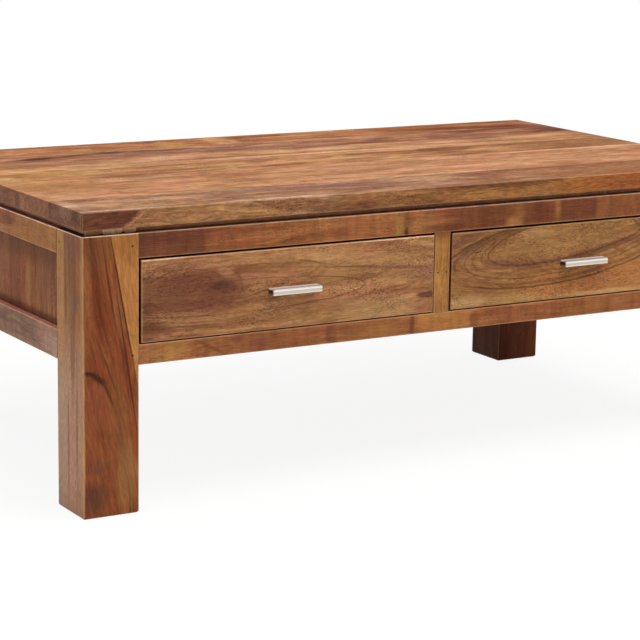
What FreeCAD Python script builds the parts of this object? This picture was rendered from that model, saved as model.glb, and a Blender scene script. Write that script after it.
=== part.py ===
"""Coffee table with two drawers, solid wood, as a parametric FreeCAD document.

Frame: millimetres, +X right along the length, -Y towards the drawer fronts, +Z up.
The origin lies on the floor, in the middle of the box round the whole table, pulls included.
"""
import FreeCAD, Part
import math
import os
from types import SimpleNamespace

import Sketcher

# Driving sizes: alias, millimetres, meaning
SIZES = [
    ("length", 1100, "table top, left to right"),
    ("depth", 600, "table top, front to back"),
    ("height", 405, "floor to table top"),
    ("top_thickness", 24, "planks of the top"),
    ("first_plank", 105, "width of the front plank"),
    ("second_plank", 45, "width of the narrow plank behind it"),
    ("third_plank", 112, "width of the third plank; the rest share what is left"),
    ("top_edge_radius", 1.8, "rounding round the top"),
    ("shadow_gap", 7, "height of the rebate under the top"),
    ("gap_depth", 8, "depth of the rebate under the top"),
    ("leg_size", 80, "square section of a leg"),
    ("leg_edge_radius", 1.4, "easing of a leg's long edges"),
    ("foot_bevel", 2, "bevel round a leg's foot"),
    ("rail_thickness", 26, "all rails and the muntin"),
    ("rail_edge_radius", 1, "easing of a rail's outer edges"),
    ("upper_rail_height", 33.5, "upper rails below the rebate"),
    ("opening_height", 114, "drawer openings"),
    ("lower_rail_height", 27, "lower front rail, runners"),
    ("side_rail_height", 40, "lower rails at the sides and back"),
    ("muntin_width", 25, "upright between the drawers"),
    ("tenon_length", 26, "rail tenons"),
    ("tenon_thickness", 12, "rail and muntin tenons"),
    ("tenon_clearance", 0.15, "tenon to mortise, each side"),
    ("end_room", 1, "left free at the bottom of a mortise or groove"),
    ("stub_length", 8, "short tenons of muntin, runners and bearers"),
    ("stub_lip", 4, "shoulder of a short tenon"),
    ("shoulder_extra", 3, "kept between a tenon and a groove or stub that crosses it"),
    ("panel_recess", 9, "panel behind the frame's outer face"),
    ("panel_thickness", 12, "side and back panels"),
    ("tongue_thickness", 6, "tongue round a panel"),
    ("tongue_length", 6, "tongue round a panel"),
    ("panel_clearance", 0.2, "panel to frame"),
    ("divider_thickness", 25, "board between the drawers"),
    ("runner_width", 40, "outer runners"),
    ("centre_runner_width", 80, "runner under both drawers"),
    ("bearer_width", 40, "outer bearers under the top"),
    ("centre_bearer_width", 80, "bearer above both drawers"),
    ("guide_thickness", 16, "strip that keeps a drawer straight"),
    ("guide_height", 62, "strip that keeps a drawer straight"),
    ("guide_edge_radius", 3, "rounding of the strip's top edge"),
    ("pin_diameter", 2.8, "steel pins through the tenons"),
    ("pin_length", 30, "steel pins through the tenons"),
    ("pin_inset", 9, "pin behind the tenon's shoulder"),
    ("pin_recess", 1, "pin head below the leg's face"),
    ("nail_diameter", 2.4, "muntin nails"),
    ("nail_length", 48, "muntin nails"),
    ("nail_spread", 14, "between the two muntin nails"),
    ("drawer_nail_diameter", 1.8, "nails of the drawer boxes"),
    ("drawer_nail_length", 32, "nails of the drawer boxes"),
    ("nail_clearance", 0.05, "nail, pin or screw in its hole"),
    ("screw_diameter", 4.5, "wood screws"),
    ("screw_head_diameter", 8.5, "wood screws"),
    ("screw_head_height", 3, "wood screws"),
    ("screw_bite", 15, "top screw in a plank, guide screw in a runner"),
    ("counterbore_depth", 20, "screw head sunk into a bearer"),
    ("counterbore_room", 1.5, "round a sunk screw head"),
    ("gap_left", 3.5, "left of a drawer front"),
    ("gap_right", 1, "right of a drawer front"),
    ("gap_top", 3, "above a drawer front"),
    ("gap_bottom", 1.5, "below a drawer front"),
    ("front_thickness", 20, "drawer front"),
    ("front_edge_radius", 2.2, "rounding round a drawer front"),
    ("back_room", 80, "free behind the drawer boxes"),
    ("side_inset", 2, "drawer side in from the front's edge"),
    ("side_thickness", 12, "drawer sides and back"),
    ("side_edge_radius", 2, "rounding of a drawer side's top edges"),
    ("run_clearance", 0.3, "drawer side above its runner"),
    ("kicker_gap", 5, "drawer side below the bearer"),
    ("dado_depth", 8, "drawer side let into the front"),
    ("back_dado", 4, "drawer back let into the sides"),
    ("back_inset", 10, "drawer back in from the sides' ends"),
    ("board_clearance", 0.1, "drawer boards in their grooves"),
    ("bottom_thickness", 6, "drawer bottom"),
    ("bottom_rise", 12, "drawer bottom above the sides' lower edge"),
    ("bottom_groove", 6, "drawer bottom let into sides and front"),
    ("stop_width", 15, "drawer stop"),
    ("stop_length", 20, "drawer stop"),
    ("stop_height", 15, "drawer stop"),
    ("stop_gap", 0.3, "drawer side to its stop"),
    ("pull_length", 75, "pull"),
    ("pull_height", 8.4, "pull"),
    ("pull_reach", 14.5, "pull out of the drawer front"),
    ("pull_drop", 2, "pull below the middle of the drawer front"),
    ("pull_wall", 2, "web and flange of the pull"),
    ("pull_lip", 3, "front lip of the pull"),
    ("pull_edge_radius", 0.9, "rounding of the pull"),
    ("boss_diameter", 6, "screw boss of the pull"),
    ("boss_inset", 6, "screw boss in from the pull's end"),
    ("pull_screw_diameter", 3.6, "pull screws"),
    ("pull_screw_bite", 10, "pull screw in its boss"),
    ("pull_screw_head_diameter", 8, "pull screws"),
    ("pull_screw_head_height", 2.4, "pull screws"),
]
EQUAL_PLANKS = 4
TOLERANCE = 1e-4

doc = FreeCAD.newDocument("coffee_table")
sheet = doc.addObject("Spreadsheet::Sheet", "sizes")


class Size:
    """A number together with the sheet expression that drives it."""

    def __init__(self, number, text):
        self.number = number
        self.text = text

    @staticmethod
    def of(value):
        """A Size from a Size or from a plain number."""
        return value if isinstance(value, Size) else Size(float(value), repr(float(value)))

    def __add__(self, other):
        other = Size.of(other)
        return Size(self.number + other.number, f"({self.text} + {other.text})")

    def __sub__(self, other):
        other = Size.of(other)
        return Size(self.number - other.number, f"({self.text} - {other.text})")

    def __mul__(self, factor):
        return Size(self.number * factor, f"({self.text} * {factor})")

    def __truediv__(self, divisor):
        return Size(self.number / divisor, f"({self.text} / {divisor})")

    def __neg__(self):
        return Size(-self.number, f"(-{self.text})")


def fill_sheet():
    """Write the driving sizes to the sheet and give each back as a Size."""
    for row, (alias, number, meaning) in enumerate(SIZES, start=1):
        sheet.set(f"A{row}", meaning)
        sheet.set(f"B{row}", str(number))
        sheet.setAlias(f"B{row}", alias)
    doc.recompute()
    return SimpleNamespace(**{alias: Size(number, f"sizes.{alias}") for alias, number, _ in SIZES})


s = fill_sheet()
ZERO = Size.of(0)

# Levels and planes of the table
FRONT = (s.pull_reach - s.depth) / 2
BACK = (s.pull_reach + s.depth) / 2
MIDDLE = s.pull_reach / 2
TOP_UNDERSIDE = s.height - s.top_thickness
REBATE_LEVEL = TOP_UNDERSIDE - s.shadow_gap
OPENING_TOP = REBATE_LEVEL - s.upper_rail_height
OPENING_BOTTOM = OPENING_TOP - s.opening_height
FRAME_BOTTOM = OPENING_BOTTOM - s.lower_rail_height
SIDE_RAIL_TOP = FRAME_BOTTOM + s.side_rail_height
FRONT_SPAN = s.length - s.leg_size * 2
SIDE_SPAN = s.depth - s.leg_size * 2
INNER_DEPTH = s.depth - s.rail_thickness * 2
HALF_LEG = s.leg_size / 2

# Joinery shared by the pieces that meet
TENON_SHOULDER = s.tongue_length + s.end_room + s.shoulder_extra
TENON_FACE = (s.rail_thickness - s.tenon_thickness) / 2
TONGUE_FACE = s.panel_recess + (s.panel_thickness - s.tongue_thickness) / 2
STUB_CLEAR = s.stub_length + s.end_room + s.shoulder_extra
BEARER_HEIGHT = s.upper_rail_height + s.shadow_gap
LEFT_RUNNER_X = -s.length / 2 + s.leg_size + s.runner_width / 2
LEFT_BEARER_X = -s.length / 2 + s.leg_size + s.bearer_width / 2
PIN_HOLE_RADIUS = s.pin_diameter / 2 + s.nail_clearance
NAIL_HOLE_RADIUS = s.nail_diameter / 2 + s.nail_clearance
DRAWER_NAIL_HOLE_RADIUS = s.drawer_nail_diameter / 2 + s.nail_clearance
SCREW_HOLE_RADIUS = s.screw_diameter / 2 + s.nail_clearance

# Drawer sizes, from the lower left corner of a drawer front
FRONT_WIDTH = (FRONT_SPAN - s.muntin_width) / 2 - s.gap_left - s.gap_right
FRONT_HEIGHT = s.opening_height - s.gap_top - s.gap_bottom
BOX_DEPTH = s.depth - s.back_room
SIDE_BOTTOM = s.run_clearance - s.gap_bottom
SIDE_TOP = s.opening_height - s.kicker_gap - s.gap_bottom
BOTTOM_Z = SIDE_BOTTOM + s.bottom_rise
INNER_LEFT = s.side_inset + s.side_thickness
INNER_RIGHT = FRONT_WIDTH - INNER_LEFT
BACK_FACE = BOX_DEPTH - s.back_inset - s.side_thickness
BACK_LOWER_EDGE = BOTTOM_Z + s.bottom_thickness + s.board_clearance
PULL_Z = FRONT_HEIGHT / 2 - s.pull_drop
BOSS_X = s.pull_length / 2 - s.boss_inset
BOSS_Z = -s.pull_wall / 2
PULL_HOLE_RADIUS = s.pull_screw_diameter / 2 + s.nail_clearance

# The two drawer openings, by their left edges
DRAWER_X = {
    "left": -FRONT_SPAN / 2 + s.gap_left,
    "right": s.muntin_width / 2 + s.gap_left,
}


def add_body(label):
    """A new body, labelled with its piece's name."""
    body = doc.addObject("PartDesign::Body", label)
    body.Label = label
    return body


def place(piece, x, y, z, rotation=FreeCAD.Rotation()):
    """Turn a piece and bind its place to the sheet."""
    piece.Placement = FreeCAD.Placement(FreeCAD.Vector(), rotation)
    for axis, size in zip("xyz", (x, y, z)):
        piece.setExpression(f"Placement.Base.{axis}", Size.of(size).text)


def turned(degrees):
    """A turn about the upright axis."""
    return FreeCAD.Rotation(FreeCAD.Vector(0, 0, 1), degrees)


def add_sketch(body, role, offset=ZERO):
    """A sketch on one of the body's own planes, moved along that plane's normal."""
    sketch = body.newObject("Sketcher::SketchObject", f"{body.Name}_sketch")
    plane = next(item for item in body.Origin.OriginFeatures if item.Role == role)
    sketch.AttachmentSupport = [(plane, "")]
    sketch.MapMode = "FlatFace"
    sketch.setExpression("AttachmentOffset.Base.z", offset.text)
    return sketch


def fix_point(sketch, line, end, x, y):
    """Hold one end of a line at a place that follows the sheet."""
    for kind, size in (("DistanceX", Size.of(x)), ("DistanceY", Size.of(y))):
        index = sketch.addConstraint(Sketcher.Constraint(kind, -1, 1, line, end, size.number))
        sketch.setExpression(f"Constraints[{index}]", size.text)


def add_outline(sketch, points):
    """Draw a closed run of straight lines through the points."""
    points = [(Size.of(x), Size.of(y)) for x, y in points]
    corners = [FreeCAD.Vector(x.number, y.number, 0) for x, y in points]
    count = len(points)
    lines = [sketch.addGeometry(Part.LineSegment(corners[i], corners[(i + 1) % count])) for i in range(count)]
    for i, line in enumerate(lines):
        sketch.addConstraint(Sketcher.Constraint("Coincident", line, 2, lines[(i + 1) % count], 1))
        fix_point(sketch, line, 1, *points[i])


def add_rectangle(sketch, x0, y0, x1, y1):
    """Draw a rectangle between two opposite corners."""
    corners = [FreeCAD.Vector(Size.of(x).number, Size.of(y).number, 0)
               for x, y in ((x0, y0), (x1, y0), (x1, y1), (x0, y1))]
    lines = [sketch.addGeometry(Part.LineSegment(corners[i], corners[(i + 1) % 4])) for i in range(4)]
    for i, line in enumerate(lines):
        sketch.addConstraint(Sketcher.Constraint("Coincident", line, 2, lines[(i + 1) % 4], 1))
        sketch.addConstraint(Sketcher.Constraint("Vertical" if i % 2 else "Horizontal", line))
    fix_point(sketch, lines[0], 1, x0, y0)
    fix_point(sketch, lines[2], 1, x1, y1)


def add_rounded_square(sketch, half, radius):
    """Draw a square about the origin with rounded corners."""
    flat = half - radius
    sides = [((half, -flat), (half, flat)), ((flat, half), (-flat, half)),
             ((-half, flat), (-half, -flat)), ((-flat, -half), (flat, -half))]
    middles = [(flat, flat), (-flat, flat), (-flat, -flat), (flat, -flat)]
    lines, arcs = [], []
    for i, (start, end) in enumerate(sides):
        ends = [FreeCAD.Vector(x.number, y.number, 0) for x, y in (start, end)]
        lines.append(sketch.addGeometry(Part.LineSegment(*ends)))
        middle = FreeCAD.Vector(middles[i][0].number, middles[i][1].number, 0)
        circle = Part.Circle(middle, FreeCAD.Vector(0, 0, 1), radius.number)
        arcs.append(sketch.addGeometry(Part.ArcOfCircle(circle, i * math.pi / 2, (i + 1) * math.pi / 2)))
    for i, (start, end) in enumerate(sides):
        fix_point(sketch, lines[i], 1, *start)
        fix_point(sketch, lines[i], 2, *end)
        sketch.addConstraint(Sketcher.Constraint("Coincident", lines[i], 2, arcs[i], 1))
        sketch.addConstraint(Sketcher.Constraint("Coincident", arcs[i], 2, lines[(i + 1) % 4], 1))
        index = sketch.addConstraint(Sketcher.Constraint("Radius", arcs[i], radius.number))
        sketch.setExpression(f"Constraints[{index}]", radius.text)


def add_circle(sketch, x, y, radius):
    """Draw a circle whose middle and radius follow the sheet."""
    x, y = Size.of(x), Size.of(y)
    middle = FreeCAD.Vector(x.number, y.number, 0)
    circle = sketch.addGeometry(Part.Circle(middle, FreeCAD.Vector(0, 0, 1), radius.number))
    fix_point(sketch, circle, 3, x, y)
    index = sketch.addConstraint(Sketcher.Constraint("Radius", circle, radius.number))
    sketch.setExpression(f"Constraints[{index}]", radius.text)


def add_pad(body, sketch, length, symmetric=False, backwards=False):
    """Extrude a sketch, to one side or equally to both."""
    pad = body.newObject("PartDesign::Pad", f"{body.Name}_pad")
    pad.Profile = sketch
    pad.SideType = "Symmetric" if symmetric else "One side"
    pad.Reversed = backwards
    pad.setExpression("Length", length.text)
    doc.recompute()
    return pad


def add_loft(body, first, second):
    """Join two like sketches with straight faces."""
    loft = body.newObject("PartDesign::AdditiveLoft", f"{body.Name}_loft")
    loft.Profile = first
    loft.Sections = [second]
    loft.Ruled = True
    doc.recompute()


def cut(body, sketch, depth, symmetric=False, along_normal=False):
    """Cut a sketch into the body and make sure that it took wood away."""
    volume = body.Shape.Volume
    pocket = body.newObject("PartDesign::Pocket", f"{body.Name}_pocket")
    pocket.Profile = sketch
    pocket.SideType = "Symmetric" if symmetric else "One side"
    pocket.Reversed = along_normal
    pocket.setExpression("Length", depth.text)
    doc.recompute()
    if body.Shape.Volume > volume - TOLERANCE:
        raise RuntimeError(f"{body.Label}: a pocket cuts nothing")


def same(value, size):
    """Whether a measured number is at a size."""
    return abs(value - Size.of(size).number) < TOLERANCE


def runs_along(edge, axis):
    """Whether an edge is straight and parallel to one axis of its body."""
    if edge.Curve.TypeId != "Part::GeomLine":
        return False
    return abs(abs(getattr(edge.Curve.Direction, axis)) - 1) < TOLERANCE


def pick_edges(body, wanted):
    """Names of the edges of a body's last feature that a test accepts."""
    edges = body.Tip.Shape.Edges
    return [f"Edge{i}" for i, edge in enumerate(edges, start=1) if wanted(edge)]


def round_edges(body, radius, wanted):
    """Round the edges that a test accepts."""
    base, names = body.Tip, pick_edges(body, wanted)
    fillet = body.newObject("PartDesign::Fillet", f"{body.Name}_fillet")
    fillet.Base = (base, names)
    fillet.setExpression("Radius", radius.text)
    doc.recompute()


def mirrored(piece, label):
    """The right-hand twin of a left-hand piece."""
    twin = doc.addObject("Part::Mirroring", label)
    twin.Label = label
    twin.Source = piece
    twin.Normal = FreeCAD.Vector(1, 0, 0)
    return twin


def group(label, pieces):
    """Equal small pieces that share a name."""
    bundle = doc.addObject("Part::Compound", label)
    bundle.Label = label
    bundle.Links = pieces
    return bundle


def make_rod(label, diameter, length, place_xyz, direction):
    """A straight pin or nail from a point, along a direction."""
    rod = doc.addObject("Part::Cylinder", label)
    rod.setExpression("Radius", (diameter / 2).text)
    rod.setExpression("Height", length.text)
    place(rod, *place_xyz, FreeCAD.Rotation(FreeCAD.Vector(0, 0, 1), FreeCAD.Vector(*direction)))
    return rod


def make_screw(label, diameter, head_diameter, head_height, length, place_xyz, direction):
    """A pan-head screw: its head's seat at a point, its shank along a direction."""
    body = add_body(label)
    profile = add_sketch(body, "XZ_Plane")
    tip = length - diameter / 2
    add_outline(profile, [
        (0, -head_height), (head_diameter / 4, -head_height), (head_diameter / 2, -head_height / 2),
        (head_diameter / 2, 0), (diameter / 2, 0), (diameter / 2, tip), (0, length)])
    turning = body.newObject("PartDesign::Revolution", f"{label}_revolution")
    turning.Profile = profile
    turning.ReferenceAxis = (profile, ["V_Axis"])
    place(body, *place_xyz, FreeCAD.Rotation(FreeCAD.Vector(0, 0, 1), FreeCAD.Vector(*direction)))
    doc.recompute()
    return body


def plank_rows():
    """Front edge and width of each plank of the top, front to back, from the front edge of the top."""
    own = [s.first_plank, s.second_plank, s.third_plank]
    rest = (s.depth - s.first_plank - s.second_plank - s.third_plank) / EQUAL_PLANKS
    rows, start = [], ZERO
    for width in own + [rest] * EQUAL_PLANKS:
        rows.append((start, width))
        start = start + width
    return rows


def screw_rows():
    """Planks that the bearers' screws reach, and those screws' distance behind the front edge."""
    rows = plank_rows()
    return {index: rows[index][0] + rows[index][1] / 2 for index in (0, 3, len(rows) - 1)}


def make_plank(index, start, width, last):
    """One plank of the top, eased round the outside of the top, with its screws' holes."""
    body = add_body(f"top_plank_{index + 1}")
    outline = add_sketch(body, "XY_Plane")
    add_rectangle(outline, -s.length / 2, 0, s.length / 2, width)
    add_pad(body, outline, s.top_thickness)

    def outer(edge):
        middle = edge.CenterOfMass
        at_end = same(abs(middle.x), s.length / 2)
        at_front = index == 0 and same(middle.y, 0)
        at_back = index == last and same(middle.y, width)
        if runs_along(edge, "z"):
            return at_end and (at_front or at_back)
        return at_end or at_front or at_back

    round_edges(body, s.top_edge_radius, outer)
    if index in screw_rows():
        holes = add_sketch(body, "XY_Plane")
        for x in (LEFT_BEARER_X, ZERO, -LEFT_BEARER_X):
            add_circle(holes, x, width / 2, SCREW_HOLE_RADIUS)
        cut(body, holes, s.screw_bite + s.end_room, along_normal=True)
    place(body, 0, FRONT + start, TOP_UNDERSIDE)
    return body


def make_top():
    """The planks of the table top."""
    rows = plank_rows()
    return [make_plank(i, start, width, len(rows) - 1) for i, (start, width) in enumerate(rows)]


def upright_spans(front):
    """Lower and upper edges of the two rails beside a leg, at the front or at the sides and back."""
    lower_top = OPENING_BOTTOM if front else SIDE_RAIL_TOP
    return [(FRAME_BOTTOM, lower_top), (OPENING_TOP, REBATE_LEVEL)]


def make_left_leg(label, front):
    """A left leg with its head, foot bevel, mortises, panel grooves and pin holes.

    Its own frame stands in the middle of the foot, with its axes along the table's.
    """
    inward = 1 if front else -1
    body = add_body(label)
    section = add_sketch(body, "XY_Plane", s.foot_bevel)
    add_rounded_square(section, HALF_LEG, s.leg_edge_radius)
    add_pad(body, section, REBATE_LEVEL - s.foot_bevel)
    sole = add_sketch(body, "XY_Plane")
    add_rounded_square(sole, HALF_LEG - s.foot_bevel, s.leg_edge_radius)
    add_loft(body, sole, section)
    head = add_sketch(body, "XY_Plane", REBATE_LEVEL)
    outer_y, inner_y = (HALF_LEG - s.gap_depth) * -inward, HALF_LEG * inward
    add_rectangle(head, s.gap_depth - HALF_LEG, outer_y, HALF_LEG, inner_y)
    add_pad(body, head, s.shadow_gap)
    low, high = TENON_FACE - s.tenon_clearance, TENON_FACE + s.tenon_thickness + s.tenon_clearance
    shoulder = TENON_SHOULDER - s.tenon_clearance

    long_mortises = add_sketch(body, "YZ_Plane", HALF_LEG)
    for bottom, top in upright_spans(front):
        add_rectangle(long_mortises, (low - HALF_LEG) * inward, bottom + shoulder,
                      (high - HALF_LEG) * inward, top - shoulder)
    cut(body, long_mortises, s.tenon_length + s.end_room)
    side_mortises = add_sketch(body, "XZ_Plane", HALF_LEG * -inward)
    for bottom, top in upright_spans(False):
        add_rectangle(side_mortises, low - HALF_LEG, bottom + shoulder, high - HALF_LEG, top - shoulder)
    cut(body, side_mortises, s.tenon_length + s.end_room, along_normal=front)

    groove_low = TONGUE_FACE - s.panel_clearance - HALF_LEG
    groove_high = TONGUE_FACE + s.tongue_thickness + s.panel_clearance - HALF_LEG
    groove_reach = s.tongue_length + s.end_room
    side_groove = add_sketch(body, "XZ_Plane", HALF_LEG * -inward)
    add_rectangle(side_groove, groove_low, SIDE_RAIL_TOP - groove_reach,
                  groove_high, OPENING_TOP + groove_reach)
    cut(body, side_groove, groove_reach, along_normal=front)
    if not front:
        back_groove = add_sketch(body, "YZ_Plane", HALF_LEG)
        add_rectangle(back_groove, groove_low * inward, SIDE_RAIL_TOP - groove_reach,
                      groove_high * inward, OPENING_TOP + groove_reach)
        cut(body, back_groove, groove_reach)

    pin_reach = s.pin_length + s.pin_recess + s.end_room
    long_pins = add_sketch(body, "XZ_Plane", HALF_LEG * inward)
    for bottom, top in upright_spans(front):
        add_circle(long_pins, HALF_LEG - s.pin_inset, (bottom + top) / 2, PIN_HOLE_RADIUS)
    cut(body, long_pins, pin_reach, along_normal=not front)
    side_pins = add_sketch(body, "YZ_Plane", -HALF_LEG)
    for bottom, top in upright_spans(False):
        add_circle(side_pins, (HALF_LEG - s.pin_inset) * inward, (bottom + top) / 2, PIN_HOLE_RADIUS)
    cut(body, side_pins, pin_reach, along_normal=True)
    place(body, HALF_LEG - s.length / 2, FRONT + HALF_LEG if front else BACK - HALF_LEG, 0)
    return body


def make_rail(label, span, height, rebated):
    """A rail with a tenon and a pin hole at each end.

    Its own frame: X along the rail from its middle, Y inwards from its outer face, Z up from its lower edge.
    """
    body = add_body(label)
    section = add_sketch(body, "YZ_Plane")
    if rebated:
        head = height + s.shadow_gap
        add_outline(section, [(0, 0), (s.rail_thickness, 0), (s.rail_thickness, head), (s.gap_depth, head),
                              (s.gap_depth, height), (0, height)])
    else:
        add_rectangle(section, 0, 0, s.rail_thickness, height)
    add_pad(body, section, span, symmetric=True)
    round_edges(body, s.rail_edge_radius, lambda e: runs_along(e, "x") and same(e.CenterOfMass.y, 0))
    tenon = add_sketch(body, "YZ_Plane")
    add_rectangle(tenon, TENON_FACE, TENON_SHOULDER, TENON_FACE + s.tenon_thickness, height - TENON_SHOULDER)
    add_pad(body, tenon, span + s.tenon_length * 2, symmetric=True)
    pins = add_sketch(body, "XZ_Plane")
    for x in (-span / 2 - s.pin_inset, span / 2 + s.pin_inset):
        add_circle(pins, x, height / 2, PIN_HOLE_RADIUS)
    cut(body, pins, s.rail_thickness)
    return body


def groove_rail(body, span, edge, depth_sign):
    """Plough the panel's groove into one edge of a rail, upwards or downwards."""
    reach = (s.tongue_length + s.end_room) * depth_sign
    groove = add_sketch(body, "YZ_Plane")
    add_rectangle(groove, TONGUE_FACE - s.panel_clearance, edge,
                  TONGUE_FACE + s.tongue_thickness + s.panel_clearance, edge + reach)
    cut(body, groove, span, symmetric=True)


def stub_mortises(body, outer_x, outer_width, centre_width, bottom, top):
    """Mortises in a rail's inner face for the short tenons of three boards that run front to back."""
    mortises = add_sketch(body, "XZ_Plane", -s.rail_thickness)
    room = s.tenon_clearance
    for x, width in ((outer_x, outer_width), (ZERO, centre_width), (-outer_x, outer_width)):
        half = width / 2 - s.stub_lip + room
        add_rectangle(mortises, x - half, bottom - room, x + half, top + room)
    cut(body, mortises, s.stub_length + s.end_room, along_normal=True)


def muntin_mortise(body, edge, upwards):
    """Mortise for the muntin's short tenon in a front rail's edge."""
    mortise = add_sketch(body, "XY_Plane", edge)
    half = s.muntin_width / 2 - s.stub_lip + s.tenon_clearance
    add_rectangle(mortise, -half, TENON_FACE - s.tenon_clearance,
                  half, TENON_FACE + s.tenon_thickness + s.tenon_clearance)
    cut(body, mortise, s.stub_length + s.end_room, along_normal=upwards)


def make_long_rails():
    """The front and back rails."""
    bearer_stub = (STUB_CLEAR, BEARER_HEIGHT - s.stub_lip)
    runner_stub = (s.stub_lip, s.lower_rail_height - STUB_CLEAR)
    front_upper = make_rail("front_upper_rail", FRONT_SPAN, s.upper_rail_height, True)
    muntin_mortise(front_upper, ZERO, True)
    front_lower = make_rail("front_lower_rail", FRONT_SPAN, s.lower_rail_height, False)
    muntin_mortise(front_lower, s.lower_rail_height, False)
    back_upper = make_rail("back_upper_rail", FRONT_SPAN, s.upper_rail_height, True)
    groove_rail(back_upper, FRONT_SPAN, ZERO, 1)
    back_lower = make_rail("back_lower_rail", FRONT_SPAN, s.side_rail_height, False)
    groove_rail(back_lower, FRONT_SPAN, s.side_rail_height, -1)
    for rail in (front_upper, back_upper):
        stub_mortises(rail, LEFT_BEARER_X, s.bearer_width, s.centre_bearer_width, *bearer_stub)
    for rail in (front_lower, back_lower):
        stub_mortises(rail, LEFT_RUNNER_X, s.runner_width, s.centre_runner_width, *runner_stub)
    place(front_upper, 0, FRONT, OPENING_TOP)
    place(front_lower, 0, FRONT, FRAME_BOTTOM)
    place(back_upper, 0, BACK, OPENING_TOP, turned(180))
    place(back_lower, 0, BACK, FRAME_BOTTOM, turned(180))
    return [front_upper, front_lower, back_upper, back_lower]


def make_left_rails():
    """The two rails of the left side."""
    upper = make_rail("left_upper_rail", SIDE_SPAN, s.upper_rail_height, True)
    groove_rail(upper, SIDE_SPAN, ZERO, 1)
    lower = make_rail("left_lower_rail", SIDE_SPAN, s.side_rail_height, False)
    groove_rail(lower, SIDE_SPAN, s.side_rail_height, -1)
    place(upper, -s.length / 2, MIDDLE, OPENING_TOP, turned(-90))
    place(lower, -s.length / 2, MIDDLE, FRAME_BOTTOM, turned(-90))
    return [upper, lower]


def make_panel(label, span):
    """A panel with a tongue all round, in the frame of the rails that hold it."""
    body = add_body(label)
    visible = OPENING_TOP - SIDE_RAIL_TOP
    board = add_sketch(body, "XZ_Plane", -s.panel_recess)
    half = span / 2 - s.panel_clearance
    add_rectangle(board, -half, s.panel_clearance, half, visible - s.panel_clearance)
    add_pad(body, board, s.panel_thickness, backwards=True)
    tongue = add_sketch(body, "XZ_Plane", -TONGUE_FACE)
    reach = span / 2 + s.tongue_length
    add_rectangle(tongue, -reach, -s.tongue_length, reach, visible + s.tongue_length)
    add_pad(body, tongue, s.tongue_thickness, backwards=True)
    return body


def make_muntin():
    """The upright between the two drawers, with a short tenon at each end and two nail holes."""
    body = add_body("centre_muntin")
    half = s.muntin_width / 2
    section = add_sketch(body, "XY_Plane")
    add_rectangle(section, -half, 0, half, s.rail_thickness)
    add_pad(body, section, s.opening_height)
    round_edges(body, s.rail_edge_radius, lambda e: runs_along(e, "z") and same(e.CenterOfMass.y, 0))
    tenon = add_sketch(body, "XY_Plane", -s.stub_length)
    add_rectangle(tenon, s.stub_lip - half, TENON_FACE, half - s.stub_lip, TENON_FACE + s.tenon_thickness)
    add_pad(body, tenon, s.opening_height + s.stub_length * 2)
    nails = add_sketch(body, "XZ_Plane")
    for x in (-s.nail_spread / 2, s.nail_spread / 2):
        add_circle(nails, x, s.opening_height / 2, NAIL_HOLE_RADIUS)
    cut(body, nails, s.rail_thickness)
    place(body, 0, FRONT, OPENING_BOTTOM)
    return body


def make_divider():
    """The board between the drawers, nailed through the muntin."""
    body = add_body("centre_divider")
    section = add_sketch(body, "XZ_Plane")
    add_rectangle(section, -s.divider_thickness / 2, 0, s.divider_thickness / 2, s.opening_height)
    add_pad(body, section, INNER_DEPTH, symmetric=True)
    nails = add_sketch(body, "XZ_Plane", INNER_DEPTH / 2)
    for x in (-s.nail_spread / 2, s.nail_spread / 2):
        add_circle(nails, x, s.opening_height / 2, NAIL_HOLE_RADIUS)
    cut(body, nails, s.nail_length + s.pin_recess + s.end_room - s.rail_thickness)
    place(body, 0, MIDDLE, OPENING_BOTTOM)
    return body


def make_crossbar(label, x, z, width, height, stub_bottom, stub_top):
    """A board that runs from the front rail to the back rail, with a short tenon at each end."""
    body = add_body(label)
    section = add_sketch(body, "XZ_Plane")
    add_rectangle(section, -width / 2, 0, width / 2, height)
    add_pad(body, section, INNER_DEPTH, symmetric=True)
    stub = add_sketch(body, "XZ_Plane")
    add_rectangle(stub, s.stub_lip - width / 2, stub_bottom, width / 2 - s.stub_lip, stub_top)
    add_pad(body, stub, INNER_DEPTH + s.stub_length * 2, symmetric=True)
    place(body, x, MIDDLE, z)
    return body


def make_bearer(label, x, width):
    """A board under the top, which its counterbored screws hold, and above the drawer sides."""
    body = make_crossbar(label, x, OPENING_TOP, width, BEARER_HEIGHT,
                         STUB_CLEAR, BEARER_HEIGHT - s.stub_lip)
    counterbores = add_sketch(body, "XY_Plane")
    holes = add_sketch(body, "XY_Plane")
    for distance in screw_rows().values():
        add_circle(counterbores, ZERO, distance - s.depth / 2, s.screw_head_diameter / 2 + s.counterbore_room)
        add_circle(holes, ZERO, distance - s.depth / 2, SCREW_HOLE_RADIUS)
    cut(body, counterbores, s.counterbore_depth, along_normal=True)
    cut(body, holes, BEARER_HEIGHT, along_normal=True)
    return body


def make_runner(label, x, width):
    """A board under the drawer sides, flush with the lower front rail."""
    return make_crossbar(label, x, FRAME_BOTTOM, width, s.lower_rail_height,
                         s.stub_lip, s.lower_rail_height - STUB_CLEAR)


def guide_screw_y():
    """Distances of the guide's screws from the table's middle."""
    return (-SIDE_SPAN / 3, SIDE_SPAN / 3)


def make_left_runner():
    """The left runner, with the holes of its guide's screws."""
    body = make_runner("left_runner", LEFT_RUNNER_X, s.runner_width)
    holes = add_sketch(body, "YZ_Plane", -s.runner_width / 2)
    for y in guide_screw_y():
        add_circle(holes, y, s.lower_rail_height / 2, SCREW_HOLE_RADIUS)
    cut(body, holes, s.screw_bite + s.end_room, along_normal=True)
    return body


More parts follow.
